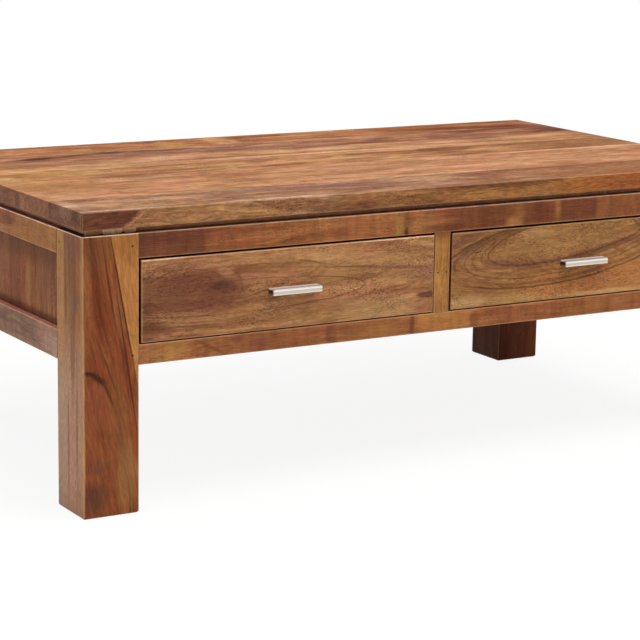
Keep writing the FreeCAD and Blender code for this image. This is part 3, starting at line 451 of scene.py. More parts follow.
@dataclass(frozen=True)
class Acacia:
    """Solid acacia, as it grew: bands of honey and red-brown, dark veins, long streaks and short pores."""

    label: ClassVar[str] = "acacia"

    tone: Tone
    band: float = 22.0  # millimetres of growth from one broad colour band to the next
    cloud: Pair = (150.0, 24.0)  # length and width of the cloudy figure in millimetres
    clouding: float = 0.5  # share of the tone that comes from cloudy figure, not from bands
    streak: Pair = (220.0, 9.0)  # length and width of the long streaks in millimetres
    streaking: float = 0.45  # darkest and palest share of the streaks
    vein: float = 5.0  # millimetres of growth between dark veins
    veining: float = 0.5  # darkest share of the veins
    stray: float = 12.0  # millimetres that a ring strays from a true circle
    stray_size: Pair = (240.0, 55.0)  # length and width of these slow waves in millimetres
    ripple: float = 3.0  # millimetres of the rings' finer waves
    ripple_size: Pair = (70.0, 16.0)  # length and width of these finer waves in millimetres
    wander: float = 7.0  # millimetres that the grain wanders from a straight line
    wander_size: Pair = (150.0, 40.0)  # length and width in millimetres over which it does so
    pore: Pair = (3.6, 1.1)  # length and width in millimetres, drawn wider than the real 0.3
    crowd: Pair = (110.0, 28.0)  # length and width of a crowd of pores in millimetres
    pitting: float = 0.65  # darkest share of the pores
    pore_depth: float = 1.5  # in heights of a raised fibre
    fibre: Pair = (42.0, 1.7)  # length and width of the fine fibres in millimetres
    thread: float = 0.8  # darkest share of light that the fine fibres leave
    thread_crest: float = 1.06  # brightest share
    line: Pair = (170.0, 1.6)  # length and width of the fine straight grain lines in millimetres
    lining: float = 0.05  # share of light and dark in these lines
    fleck: Pair = (13.0, 2.2)  # length and width of short flecks in millimetres
    flecking: float = 0.13  # share of light and dark in them
    curl: float = 0.05  # share of light and dark in the ripple that curly grain shows across a board
    curl_size: Pair = (24.0, 80.0)  # length along the grain and breadth of one ripple in millimetres
    flush: float = 0.006  # share of the colour wheel by which golden and rosy parts differ from the mean
    flush_size: Pair = (100.0, 24.0)  # length and width of such a part in millimetres
    # Paler wood along every arris: wear, and also a painted highlight where arrises catch light
    arris: float = 1.6  # millimetres of paler wood along an arris
    fray: float = 0.7  # share of that width over which the paler wood fades
    wear_and_highlight: float = 0.35  # palest share, from wear and from a painted highlight
    wear_and_highlight_colour: str = "#c79a70"
    end_colour: str = "#a48a80"  # tint of the faces across the grain
    end_share: float = 0.8  # share of that tint
    roughness: float = 0.5
    sheen: float = 0.06  # by which roughness differs between dark and pale figure
    gloss: float = 0.1  # level of the mirror-like share
    relief_share: float = 0.22  # how much of the relief shows
    relief_height: float = 0.4  # millimetres of a raised fibre, drawn higher than on real wood

    def board(self, material: bpy.types.Material, node: str, cut: Cut) -> Board:
        """Lay a board in its log.

        Args:
            material: the board's material.
            node: the board's name.
            cut: how it lay in its log.

        Returns:
            The board's shader nodes.
        """
        tree = material.node_tree
        low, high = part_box(node)
        pith = (low + high) / 2 + Vector(metres(cut.pith))
        lean = Euler([math.radians(a) for a in cut.tilt]).to_matrix()
        lay = Euler([math.radians(a) for a in cut.grain.value]).to_matrix()
        place = add_node(tree, "TexCoord").outputs["Object"]
        inputs = {"Vector": place, "Location": tuple(pith), "Rotation": tuple((lean @ lay).to_euler()),
                  "Scale": (MM, MM, MM)}
        log = add_node(tree, "Mapping", inputs, vector_type="TEXTURE").outputs[0]
        length, width = self.wander_size
        shift = tuple(cut.seed * step for step in DRIFT_STEP)
        inputs = {0: log, 1: (1.0 / length, 1.0 / width, 1.0 / width), 2: shift}
        slow = add_node(tree, "VectorMath", inputs, operation="MULTIPLY_ADD").outputs[0]
        drift = add_node(tree, "TexNoise", {"Vector": slow, "Scale": 1.0}, normalize=False).outputs["Color"]
        inputs = {0: drift, 1: (0.0, self.wander, self.wander), 2: log}
        log = add_node(tree, "VectorMath", inputs, operation="MULTIPLY_ADD").outputs[0]
        return Board(node, cut, tree, place, log)

    def growth(self, board: Board, ripple: Socket) -> Socket:
        """Add the distance from the pith, made uneven as real rings are.

        Args:
            board: the board's shader nodes.
            ripple: noise of the finer waves.

        Returns:
            Socket of the distance in millimetres.
        """
        tree = board.tree
        stray = board.drawn(self.stray_size, Pattern.STRAY)
        inputs = {0: board.log, 1: (0.0, 1.0, 1.0)}
        across = add_node(tree, "VectorMath", inputs, operation="MULTIPLY").outputs[0]
        radius = add_node(tree, "VectorMath", {0: across}, operation="LENGTH").outputs[1]
        inputs = {0: stray, 1: 2.0 * self.stray, 2: radius}
        radius = add_node(tree, "Math", inputs, operation="MULTIPLY_ADD").outputs[0]
        inputs = {0: ripple, 1: 2.0 * self.ripple, 2: radius}
        return add_node(tree, "Math", inputs, operation="MULTIPLY_ADD").outputs[0]

    def heartwood(self, board: Board, radius: Socket, cloud: Socket) -> Socket:
        """Add the broad colours: growth bands mixed with cloudy figure.

        Args:
            board: the board's shader nodes.
            radius: distance from the pith in millimetres.
            cloud: noise of the cloudy figure.

        Returns:
            Socket of the colour.
        """
        tree = board.tree
        inputs = {0: radius, 1: 1.0 / self.band, 2: board.cut.seed}
        years = add_node(tree, "Math", inputs, operation="MULTIPLY_ADD").outputs[0]
        inputs = {"W": years, "Scale": 1.0, "Detail": 3.0, "Roughness": NOISE_ROUGHNESS}
        bands = add_node(tree, "TexNoise", inputs, noise_dimensions="1D").outputs[0]
        inputs = {0: self.clouding, 2: bands, 3: cloud}
        depth = add_node(tree, "Mix", inputs).outputs[0]
        tone = self.tone
        stops = ((0.34, tone.deep), (0.64, tone.pale), (0.43, tone.dark), (0.53, tone.mid))
        return add_node(tree, "ValToRGB", {0: depth}, stops).outputs[0]

    def streaked(self, board: Board, colour: Socket) -> Socket:
        """Draw long dark and pale streaks over a colour.

        Args:
            board: the board's shader nodes.
            colour: the colour below.

        Returns:
            Socket of the new colour.
        """
        tree = board.tree
        streaks = board.drawn(self.streak, Pattern.STREAK, 4.0)
        for span, tint in ((STREAK_DARK, self.tone.streak), (STREAK_PALE, self.tone.pale)):
            inputs = {"Value": streaks, "From Min": span[0], "From Max": span[1], "To Max": self.streaking}
            share = add_node(tree, "MapRange", inputs, interpolation_type="SMOOTHSTEP").outputs[0]
            inputs = {0: share, 6: colour, 7: linear(tint)}
            colour = add_node(tree, "Mix", inputs, data_type="RGBA").outputs[2]
        return colour

    def veined(self, board: Board, radius: Socket, cloud: Socket, colour: Socket) -> Socket:
        """Draw thin dark veins along the rings, broken where the figure is pale.

        Args:
            board: the board's shader nodes.
            radius: distance from the pith in millimetres.
            cloud: noise of the cloudy figure.
            colour: the colour below.

        Returns:
            Socket of the new colour.
        """
        tree = board.tree
        inputs = {0: radius, 1: 1.0 / self.vein, 2: board.cut.seed + VEIN_START}
        years = add_node(tree, "Math", inputs, operation="MULTIPLY_ADD").outputs[0]
        inputs = {"W": years, "Scale": 1.0, "Detail": 1.0, "Roughness": 0.5}
        veins = add_node(tree, "TexNoise", inputs, noise_dimensions="1D").outputs[0]
        inputs = {"Value": veins, "From Min": VEIN[0], "From Max": VEIN[1], "To Max": self.veining}
        veins = add_node(tree, "MapRange", inputs, interpolation_type="SMOOTHSTEP").outputs[0]
        inputs = {"Value": cloud, "From Min": VEIN_BREAK[0], "From Max": VEIN_BREAK[1]}
        broken = add_node(tree, "MapRange", inputs, interpolation_type="SMOOTHSTEP").outputs[0]
        veins = add_node(tree, "Math", {0: veins, 1: broken}, operation="MULTIPLY").outputs[0]
        inputs = {0: veins, 6: colour, 7: linear(self.tone.vein)}
        return add_node(tree, "Mix", inputs, data_type="RGBA").outputs[2]

    def marked(self, board: Board, noise: Socket, marks: list[Mark], colour: Socket) -> Socket:
        """Draw the given marks over a colour.

        Args:
            board: the board's shader nodes.
            noise: value from 0 to 1 that frays the marks.
            marks: the marks, later ones over earlier ones.
            colour: the colour below.

        Returns:
            Socket of the new colour.
        """
        for mark in marks:
            inputs = {0: board.mark_mask(mark, noise), 6: colour, 7: linear(mark.colour)}
            colour = add_node(board.tree, "Mix", inputs, data_type="RGBA").outputs[2]
        return colour

    def pores(self, board: Board) -> Socket:
        """Add the pores, which stand in crowds.

        Args:
            board: the board's shader nodes.

        Returns:
            Socket of the share of pore, from 0 to 1.
        """
        tree = board.tree
        pore = board.drawn(self.pore, Pattern.PORE, 0.0)
        inputs = {"Value": pore, "From Min": PORE[0], "From Max": PORE[1]}
        pits = add_node(tree, "MapRange", inputs, interpolation_type="SMOOTHSTEP").outputs[0]
        crowd = board.drawn(self.crowd, Pattern.CROWD)
        inputs = {"Value": crowd, "From Min": PORE_CROWD[0], "From Max": PORE_CROWD[1]}
        crowded = add_node(tree, "MapRange", inputs, interpolation_type="SMOOTHSTEP").outputs[0]
        return add_node(tree, "Math", {0: pits, 1: crowded}, operation="MULTIPLY").outputs[0]

    def shaded(self, board: Board, fibre: Socket, colour: Socket) -> Socket:
        """Draw fibres, grain lines, flecks and curl as light and shade, and golden and rosy parts.

        Args:
            board: the board's shader nodes.
            fibre: noise of the fine fibres.
            colour: the colour below.

        Returns:
            Socket of the new colour.
        """
        tree = board.tree
        shares = (
            (fibre, self.thread, self.thread_crest),
            (board.drawn(self.line, Pattern.LINE, 3.0), 1.0 - self.lining, 1.0 + self.lining),
            (board.drawn(self.fleck, Pattern.FLECK), 1.0 - self.flecking, 1.0 + self.flecking),
            (board.drawn(self.curl_size, Pattern.CURL, 3.0), 1.0 - self.curl, 1.0 + self.curl),
        )
        for pattern, least, most in shares:
            inputs = {"Value": pattern, "From Min": SHADE[0], "From Max": SHADE[1], "To Min": least,
                      "To Max": most}
            share = add_node(tree, "MapRange", inputs).outputs[0]
            inputs = {0: 1.0, 6: colour, 7: share}
            colour = add_node(tree, "Mix", inputs, data_type="RGBA", blend_type="MULTIPLY").outputs[2]
        flush = board.drawn(self.flush_size, Pattern.FLUSH, 3.0)
        inputs = {"Value": flush, "From Min": HUE[0], "From Max": HUE[1], "To Min": 0.5 - self.flush,
                  "To Max": 0.5 + self.flush}
        hue = add_node(tree, "MapRange", inputs).outputs[0]
        return add_node(tree, "HueSaturation", {"Hue": hue, "Color": colour}).outputs[0]

    def worn_and_highlit(self, board: Board, fibre: Socket, colour: Socket) -> Socket:
        """Pale the wood along the board's arrises, where hands and cloths rub it; the paling also serves as a
        painted highlight.

        Args:
            board: the board's shader nodes.
            fibre: noise of the fine fibres, which frays the paler strip.
            colour: the colour below.

        Returns:
            Socket of the new colour.
        """
        tree = board.tree
        width = self.arris * MM
        inputs = {0: fibre, 1: -width, 2: board.edge_distance()}
        distance = add_node(tree, "Math", inputs, operation="MULTIPLY_ADD").outputs[0]
        inputs = {"Value": distance, "From Min": width * self.fray, "From Max": 0.0, "To Max": self.wear_and_highlight}
        worn_and_highlit = add_node(tree, "MapRange", inputs, interpolation_type="SMOOTHSTEP").outputs[0]
        inputs = {0: worn_and_highlit, 6: colour, 7: linear(self.wear_and_highlight_colour)}
        return add_node(tree, "Mix", inputs, data_type="RGBA").outputs[2]

    def end_grain(self, board: Board, colour: Socket) -> Socket:
        """Darken the faces that cut across the grain, which drink more of the finish.

        Args:
            board: the board's shader nodes.
            colour: the colour below.

        Returns:
            Socket of the new colour.
        """
        tree = board.tree
        lay = Euler([math.radians(a) for a in board.cut.grain.value]).to_matrix()
        along = tuple(lay @ Vector((1.0, 0.0, 0.0)))
        normal = add_node(tree, "NewGeometry").outputs["Normal"]
        facing = add_node(tree, "VectorMath", {0: normal, 1: along}, operation="DOT_PRODUCT").outputs[1]
        facing = add_node(tree, "Math", {0: facing}, operation="ABSOLUTE").outputs[0]
        inputs = {"Value": facing, "From Min": END_FACING[0], "From Max": END_FACING[1],
                  "To Max": self.end_share}
        end = add_node(tree, "MapRange", inputs, interpolation_type="SMOOTHSTEP").outputs[0]
        inputs = {0: end, 6: colour, 7: linear(self.end_colour)}
        return add_node(tree, "Mix", inputs, data_type="RGBA", blend_type="MULTIPLY").outputs[2]

    def relief(self, board: Board, pits: Socket, fibre: Socket) -> Socket:
        """Add the surface's height: open pores and raised fibres.

        Args:
            board: the board's shader nodes.
            pits: share of pores.
            fibre: noise of the fine fibres.

        Returns:
            Socket of the height.
        """
        inputs = {0: pits, 1: -self.pore_depth, 2: fibre}
        return add_node(board.tree, "Math", inputs, operation="MULTIPLY_ADD").outputs[0]

    def material(self, node: str, cut: Cut, marks: tuple[Mark, ...] = ()) -> bpy.types.Material:
        """Make the material of one board.

        Args:
            node: the board's name.
            cut: how it lay in its log.
            marks: its marks, later ones over earlier ones.

        Returns:
            The new material.
        """
        material = new_material(f"{self.label}_{node}")
        board = self.board(material, node, cut)
        tree = board.tree
        ripple = board.drawn(self.ripple_size, Pattern.RIPPLE)
        cloud = board.drawn(self.cloud, Pattern.CLOUD, 4.0)
        fibre = board.drawn(self.fibre, Pattern.FIBRE)
        pits = self.pores(board)
        radius = self.growth(board, ripple)
        colour = self.heartwood(board, radius, cloud)
        colour = self.streaked(board, colour)
        colour = self.veined(board, radius, cloud, colour)
        colour = self.marked(board, ripple, [mark for mark in marks if not mark.smooth], colour)
        share = add_node(tree, "Math", {0: pits, 1: self.pitting}, operation="MULTIPLY").outputs[0]
        inputs = {0: share, 6: colour, 7: linear(self.tone.vein)}
        colour = add_node(tree, "Mix", inputs, data_type="RGBA").outputs[2]
        colour = self.marked(board, ripple, [mark for mark in marks if mark.smooth], colour)
        colour = self.shaded(board, fibre, colour)
        colour = self.worn_and_highlit(board, fibre, colour)
        colour = self.end_grain(board, colour)
        inputs = {"Value": cloud, "From Min": SHEEN[0], "From Max": SHEEN[1],
                  "To Min": self.roughness + self.sheen, "To Max": self.roughness - self.sheen}
        rough = add_node(tree, "MapRange", inputs).outputs[0]
        inputs = {"Strength": self.relief_share, "Distance": self.relief_height * MM,
                  "Height": self.relief(board, pits, fibre)}
        bump = add_node(tree, "Bump", inputs).outputs[0]
        inputs = {"Base Color": colour, "Roughness": rough, "IOR": WOOD_IOR, "Specular IOR Level": self.gloss,
                  "Normal": bump}
        shader = add_node(tree, "BsdfPrincipled", inputs)
        add_node(tree, "OutputMaterial", {0: shader.outputs[0]})
        return material


@dataclass(frozen=True)
class LacqueredAcacia(Acacia):
    """Acacia, sanded and sprayed with satin lacquer: full colour and a soft sheen on faces seen edge-on."""

    label: ClassVar[str] = "lacquered_acacia"


@dataclass(frozen=True)
class PlanedAcacia(Acacia):
    """Acacia, planed by machine and left bare: paler and matt, with faint waves of the planer's knives."""

    label: ClassVar[str] = "planed_acacia"

    knife: float = 6.0  # millimetres between knife waves, drawn longer than the real 2
    knife_depth: float = 0.25  # in heights of a raised fibre
    streaking: float = 0.25
    veining: float = 0.3
    wear_and_highlight: float = 0.15
    roughness: float = 0.7
    gloss: float = 0.15

    def relief(self, board: Board, pits: Socket, fibre: Socket) -> Socket:
        """Add the surface's height: pores, fibres and knife waves across the grain.

        Args:
            board: the board's shader nodes.
            pits: share of pores.
            fibre: noise of the fine fibres.

        Returns:
            Socket of the height.
        """
        tree = board.tree
        height = super().relief(board, pits, fibre)
        along = add_node(tree, "SeparateXYZ", {0: board.log}).outputs[0]
        turns = add_node(tree, "Math", {0: along, 1: math.tau / self.knife}, operation="MULTIPLY").outputs[0]
        wave = add_node(tree, "Math", {0: turns}, operation="SINE").outputs[0]
        inputs = {0: wave, 1: self.knife_depth, 2: height}
        return add_node(tree, "Math", inputs, operation="MULTIPLY_ADD").outputs[0]


@dataclass(frozen=True)
class SandedPlywood:
    """Plywood, sanded: a pale peeled face with wide wavy figure, and dark and pale plies along its edges."""

    pale: str = "#c39a6a"
    mid: str = "#b0854f"
    dark: str = "#94683c"
    ply: float = 1.4  # millimetres of one ply
    figure: Pair = (260.0, 40.0)  # length and width of the peeled figure in millimetres
    waves: float = 60.0  # radians of wavy lines over the range of the figure's noise
    roughness: float = 0.7
    sheen: float = 0.08  # by which roughness differs over the figure
    gloss: float = 0.2  # level of the mirror-like share
    relief_share: float = 0.15  # how much of the relief shows
    relief_height: float = 0.3  # millimetres of a wavy line, drawn higher than on real plywood

    def material(self, node: str) -> bpy.types.Material:
        """Make the material of one drawer bottom.

        Args:
            node: the bottom's name.

        Returns:
            The new material.
        """
        material = new_material("sanded_plywood_" + node)
        tree = material.node_tree
        place = add_node(tree, "TexCoord").outputs["Object"]
        inputs = {"Vector": place, "Scale": metres((self.figure[0], self.figure[1], self.figure[1]))}
        drawn = add_node(tree, "Mapping", inputs, vector_type="TEXTURE").outputs[0]
        inputs = {"Vector": drawn, "Scale": 1.0, "Detail": 4.0, "Distortion": 0.6}
        figure = add_node(tree, "TexNoise", inputs).outputs[0]
        inputs = {0: figure, 1: self.waves}
        waves = add_node(tree, "Math", inputs, operation="MULTIPLY").outputs[0]
        waves = add_node(tree, "Math", {0: waves}, operation="SINE").outputs[0]
        inputs = {"Value": waves, "From Min": -1.0, "From Max": 1.0}
        rings = add_node(tree, "MapRange", inputs).outputs[0]
        stops = ((0.0, self.mid), (1.0, self.pale))
        face = add_node(tree, "ValToRGB", {0: rings}, stops).outputs[0]
        height = add_node(tree, "SeparateXYZ", {0: place}).outputs[2]
        inputs = {0: height, 1: 1.0 / (2.0 * self.ply * MM)}
        layer = add_node(tree, "Math", inputs, operation="MULTIPLY").outputs[0]
        layer = add_node(tree, "Math", {0: layer}, operation="FRACT").outputs[0]
        stops = ((0.44, self.dark), (0.56, self.pale))
        plies = add_node(tree, "ValToRGB", {0: layer}, stops).outputs[0]
        normal = add_node(tree, "NewGeometry").outputs["Normal"]
        upward = add_node(tree, "SeparateXYZ", {0: normal}).outputs[2]
        upward = add_node(tree, "Math", {0: upward}, operation="ABSOLUTE").outputs[0]
        inputs = {0: upward, 6: plies, 7: face}
        colour = add_node(tree, "Mix", inputs, data_type="RGBA").outputs[2]
        inputs = {"Value": figure, "To Min": self.roughness - self.sheen,
                  "To Max": self.roughness + self.sheen}
        rough = add_node(tree, "MapRange", inputs).outputs[0]
        inputs = {"Strength": self.relief_share, "Distance": self.relief_height * MM, "Height": waves}
        bump = add_node(tree, "Bump", inputs).outputs[0]
        inputs = {"Base Color": colour, "Roughness": rough, "IOR": WOOD_IOR, "Specular IOR Level": self.gloss,
                  "Normal": bump}
        shader = add_node(tree, "BsdfPrincipled", inputs)
        add_node(tree, "OutputMaterial", {0: shader.outputs[0]})
        return material


@dataclass(frozen=True)
class BlastedAluminium:
    """Aluminium, extruded, finely blasted and clear anodised: whitish and matt, painted highlights on its
    edges and painted shade in the channel.
    """

    crest: str = "#fbf8f3"  # upper part of the lip, a painted highlight
    colour: str = "#d2c8ba"  # middle of the lip
    heel: str = "#ece0d0"  # lower edge of the lip, a painted highlight
    web: str = "#aca69e"  # upper face, at the lip, darkened as painted shade
    web_back: str = "#ecdfd8"  # upper face, at the wood, a painted highlight
    inside: str = "#4c3e36"  # inside of the channel, painted shade
    hair: Triple = (22.0, 0.5, 0.5)  # drawing lines in millimetres, drawn wider than the real 0.1
    metallic: float = 0.55  # less than plain metal, because the blasted skin scatters light
    roughness: float = 0.42
    sheen: Pair = (0.07, 0.1)  # by which the drawing lines are smoother and rougher than the mean
    relief_share: float = 0.12  # how much of the relief shows
    relief_height: float = 0.2  # millimetres of a drawing line, drawn higher than on real metal
    lip_back: float = -304.4  # Y of the lip's inner face in millimetres, with a little to spare
    web_under: float = 283.0  # Z of the web's lower face in millimetres
    web_end: float = -295.5  # Y in millimetres where the web nears the wood and is palest
    foot: float = 276.55  # Z of the pull's lower edge in millimetres
    head: float = 284.95  # Z of its upper face in millimetres

    def material(self) -> bpy.types.Material:
        """Make the finish of the pulls.

        Returns:
            The new material.
        """
        material = new_material("blasted_aluminium")
        tree = material.node_tree
        place = add_node(tree, "TexCoord").outputs["Object"]
        inputs = {"Vector": place, "Scale": metres(self.hair)}
        drawn = add_node(tree, "Mapping", inputs, vector_type="TEXTURE").outputs[0]
        hairs = add_node(tree, "TexNoise", {"Vector": drawn, "Scale": 1.0, "Detail": 3.0}).outputs[0]
        axes = add_node(tree, "SeparateXYZ", {0: place}).outputs
        inputs = {"Value": axes[2], "From Min": self.foot * MM, "From Max": self.head * MM}
        height = add_node(tree, "MapRange", inputs).outputs[0]
        # Painted highlights along the lip's upper and lower edges, around its plain middle
        stops = ((0.1, self.heel), (0.94, self.web), (0.35, self.colour), (0.58, self.colour),
                 (0.7, self.crest), (0.84, self.crest))
        colour = add_node(tree, "ValToRGB", {0: height}, stops).outputs[0]
        # The web runs from painted shade at the lip to a painted highlight at the wood
        inputs = {0: axes[1], 1: self.lip_back * MM}
        behind = add_node(tree, "Math", inputs, operation="GREATER_THAN").outputs[0]
        inputs = {"Value": axes[1], "From Min": self.lip_back * MM, "From Max": self.web_end * MM}
        backward = add_node(tree, "MapRange", inputs, interpolation_type="SMOOTHSTEP").outputs[0]
        inputs = {0: backward, 6: linear(self.web), 7: linear(self.web_back)}
        web = add_node(tree, "Mix", inputs, data_type="RGBA").outputs[2]
        inputs = {0: behind, 6: colour, 7: web}
        colour = add_node(tree, "Mix", inputs, data_type="RGBA").outputs[2]
        # Painted shade inside the channel
        inputs = {0: axes[2], 1: self.web_under * MM}
        below = add_node(tree, "Math", inputs, operation="LESS_THAN").outputs[0]
        inner = add_node(tree, "Math", {0: behind, 1: below}, operation="MULTIPLY").outputs[0]
        inputs = {0: inner, 6: colour, 7: linear(self.inside)}
        colour = add_node(tree, "Mix", inputs, data_type="RGBA").outputs[2]
        inputs = {"Value": hairs, "From Min": SHEEN[0], "From Max": SHEEN[1],
                  "To Min": self.roughness - self.sheen[0], "To Max": self.roughness + self.sheen[1]}
        rough = add_node(tree, "MapRange", inputs).outputs[0]
        inputs = {"Strength": self.relief_share, "Distance": self.relief_height * MM, "Height": hairs}
        bump = add_node(tree, "Bump", inputs).outputs[0]
        inputs = {"Base Color": colour, "Metallic": self.metallic, "Roughness": rough, "Normal": bump}
        shader = add_node(tree, "BsdfPrincipled", inputs)
        add_node(tree, "OutputMaterial", {0: shader.outputs[0]})
        return material


@dataclass(frozen=True)
class DrawnSteel:
    """Drawn steel, oiled: dark grey pins, nails and screws with a dull shine and faint rust-brown stain."""

    colour: str = "#4a4540"
    stain: str = "#3a2a20"
    grit: float = 1.2  # millimetres from one stain to the next
    rough: Pair = (0.55, 0.35)  # roughness where stained and where clean

    def material(self) -> bpy.types.Material:
        """Make the finish of pins, nails and screws.

        Returns:
            The new material.
        """
        material = new_material("drawn_steel_oiled")
        tree = material.node_tree
        place = add_node(tree, "TexCoord").outputs["Object"]
        inputs = {"Vector": place, "Scale": 1.0 / (self.grit * MM), "Detail": 2.0}
        stain = add_node(tree, "TexNoise", inputs).outputs[0]
        stops = ((0.35, self.stain), (0.6, self.colour))
        colour = add_node(tree, "ValToRGB", {0: stain}, stops).outputs[0]
        inputs = {"Value": stain, "To Min": self.rough[0], "To Max": self.rough[1]}
        rough = add_node(tree, "MapRange", inputs).outputs[0]
        inputs = {"Base Color": colour, "Metallic": 1.0, "Roughness": rough}
        shader = add_node(tree, "BsdfPrincipled", inputs)
        add_node(tree, "OutputMaterial", {0: shader.outputs[0]})
        return material


